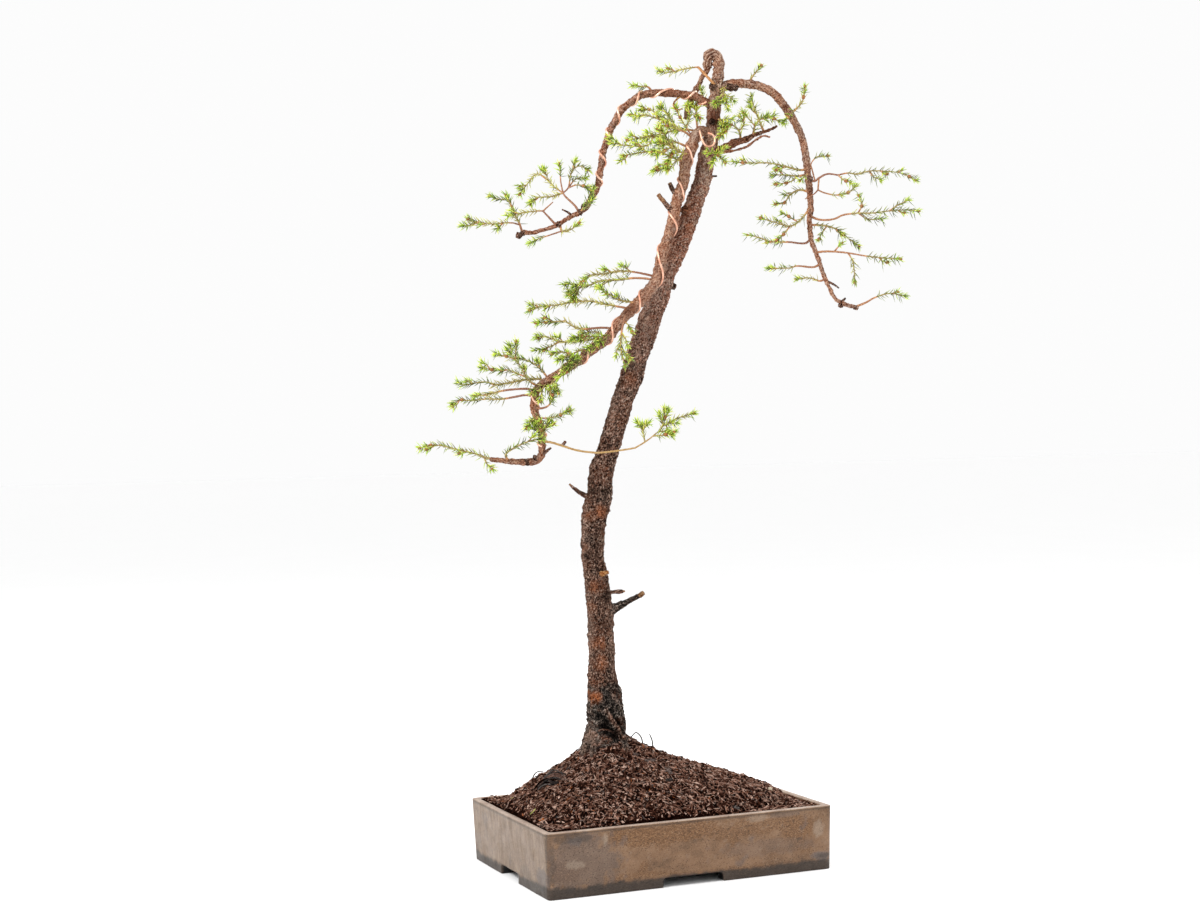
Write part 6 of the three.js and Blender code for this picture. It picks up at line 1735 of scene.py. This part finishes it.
# How olive each kind of litter is, and how thick a strand of it is from its butt to its tip
LITTER_OLIVE = {1: 0.5, 2: 0.9, 3: 0.0}
LITTER_PROFILE = (0.8, 1.0, 1.0, 0.9, 0.7, 0.0)


def build_bits():
    """The fertiliser pellet and the chip of bark, as rough rounded blocks as big as their nodes."""
    for name, node, squareness, material, slot in (
        ("fertiliser_crumb", "fertiliser_pellet", 0.2, PELLET, "pellet"),
        ("bark_flake", "bark_chip", 0.5, BARK, "bark"),
    ):
        low, high = (np.array(corner) / MM - POT_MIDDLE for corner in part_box(node))
        size, middle = (high - low) / 2, (high + low) / 2
        form = bmesh.new()
        bmesh.ops.create_icosphere(form, subdivisions=4, radius=1.0)
        for vertex in form.verts:
            spot = vertex.co.copy()
            square = max(abs(spot.x), abs(spot.y), abs(spot.z)) ** squareness
            rough = 1 + 0.13 * noise.fractal(spot * 1.8, 0.8, 2.1, 4)
            vertex.co = (np.array(spot) / square * size * rough * 0.93 + middle + POT_MIDDLE) * MM
        mesh = from_form(name, form)
        set_smooth(mesh)
        write_mark(mesh, "bark_place", read_places(mesh) * 1000)
        write_mark(mesh, "pale", np.full(len(mesh.vertices), 0.12))
        add_piece(name, mesh, [material], slot, node)


# How far the sight line is followed to the soil, in front of the trunk's foot and behind it
SEARCH_REACH = 150


def on_mound(across, height):
    """The place on the soil that shows at a place in the photograph."""
    spots = seen([[across, height, nearer] for nearer in np.arange(SEARCH_REACH, -SEARCH_REACH, -1.0)])
    x, y, z = spots.T
    inside = (np.abs(x) < INNER_LENGTH / 2 - 1) & (np.abs(y) < INNER_WIDTH / 2 - 1)
    gap = np.where(inside, z - mound_height(x, y), 1e3)
    place = spots[np.argmax(gap < 0) if gap.min() < 0 else np.argmin(gap)]
    return np.array([place[0], place[1], mound_height(place[0], place[1])])


def add_fallen(shape, draw):
    """Fallen needles and bits, each of them one strand."""
    for across, height, length, width, turn, rise, bend, kind, tone in LITTER:
        base = on_mound(across, height)[None] + UP * 2.0
        angle = math.radians(turn)
        direction = unit(RIGHT * math.cos(angle) + SIGHT * math.sin(angle) + UP * rise)
        curl = -UP * bend * 0.7 + SIGHT * draw.normal(0, 1)
        length, width, tone, olive, orange = (
            np.array([float(value)]) for value in (length, width, tone, LITTER_OLIVE[kind], kind == 3)
        )
        strands(
            shape, base, direction[None], length, curl[None], width, LITTER_PROFILE, 5,
            int(kind in (1, 2)), tone=tone, olive=olive, orange=orange,
        )


def add_clump(shape, draw):
    """Dead roots that arch over one another."""
    clump = on_mound(*ROOT_CLUMP)
    for share in draw.uniform(-1, 1, ROOT_CLUMP_SIZE):
        shift = (SIGHT + RIGHT * 0.5) * share * 7
        start = clump + shift - RIGHT * draw.normal(12, 2) + SIGHT * draw.normal(5, 2)
        end = clump + shift + RIGHT * draw.normal(9, 2.5) - SIGHT * draw.normal(9, 2)
        rise, places = draw.uniform(3, 9) * (1.2 - abs(share)), []
        for t in np.linspace(0, 1, 6):
            x, y, _ = start + (end - start) * t
            places.append([x, y, mound_height(x, y) + 0.8 + 4 * rise * t * (1 - t)])
        limb = Limb(np.array(places), np.linspace(0.8, 0.45, 6) * draw.uniform(0.8, 1.2), 1.2)
        skin(shape, limb, 6, tone=draw.choice([0.0, 0.05, 0.2, 0.5]), ashen=draw.choice([0.0, 0.3, 0.8]))


def build_litter():
    draw = seeded("litter")
    shape = Shape()
    add_fallen(shape, draw)
    add_clump(shape, draw)
    for places in HAIRS:
        nearer = sighted(on_mound(*places[0]))[2]
        limb = Limb(seen([[*place, nearer] for place in places]), np.linspace(0.75, 0.55, len(places)), 1.0)
        skin(shape, limb, 5, tone=0.2)
    for across, height, size, ashen, tone in LUMPS:
        base = on_mound(across, height)
        up = mound_slope(base[:1], base[1:2])
        for _ in range(3):
            middle = base[None] + up * size[2] * 0.3 + draw.normal(0, 0.18, (1, 3)) * size
            lump = np.array([size]) * draw.uniform(0.6, 1.0)
            add_crumbs(shape, middle, up, lump, draw, tone=[tone], ashen=[ashen])
    add_piece("soil_litter", make_mesh("soil_litter", shape, False), [SOIL, NEEDLES], "soil", "soil")


for build in (
    build_litter, build_wood, build_wires, build_sprays, build_soil_bed, build_crumbs, build_fibres,
    build_pot, build_bits,
):
    build()
for node in ("drain_screen_left", "drain_screen_right"):
    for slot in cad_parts[node].material_slots:
        slot.material = SCREEN
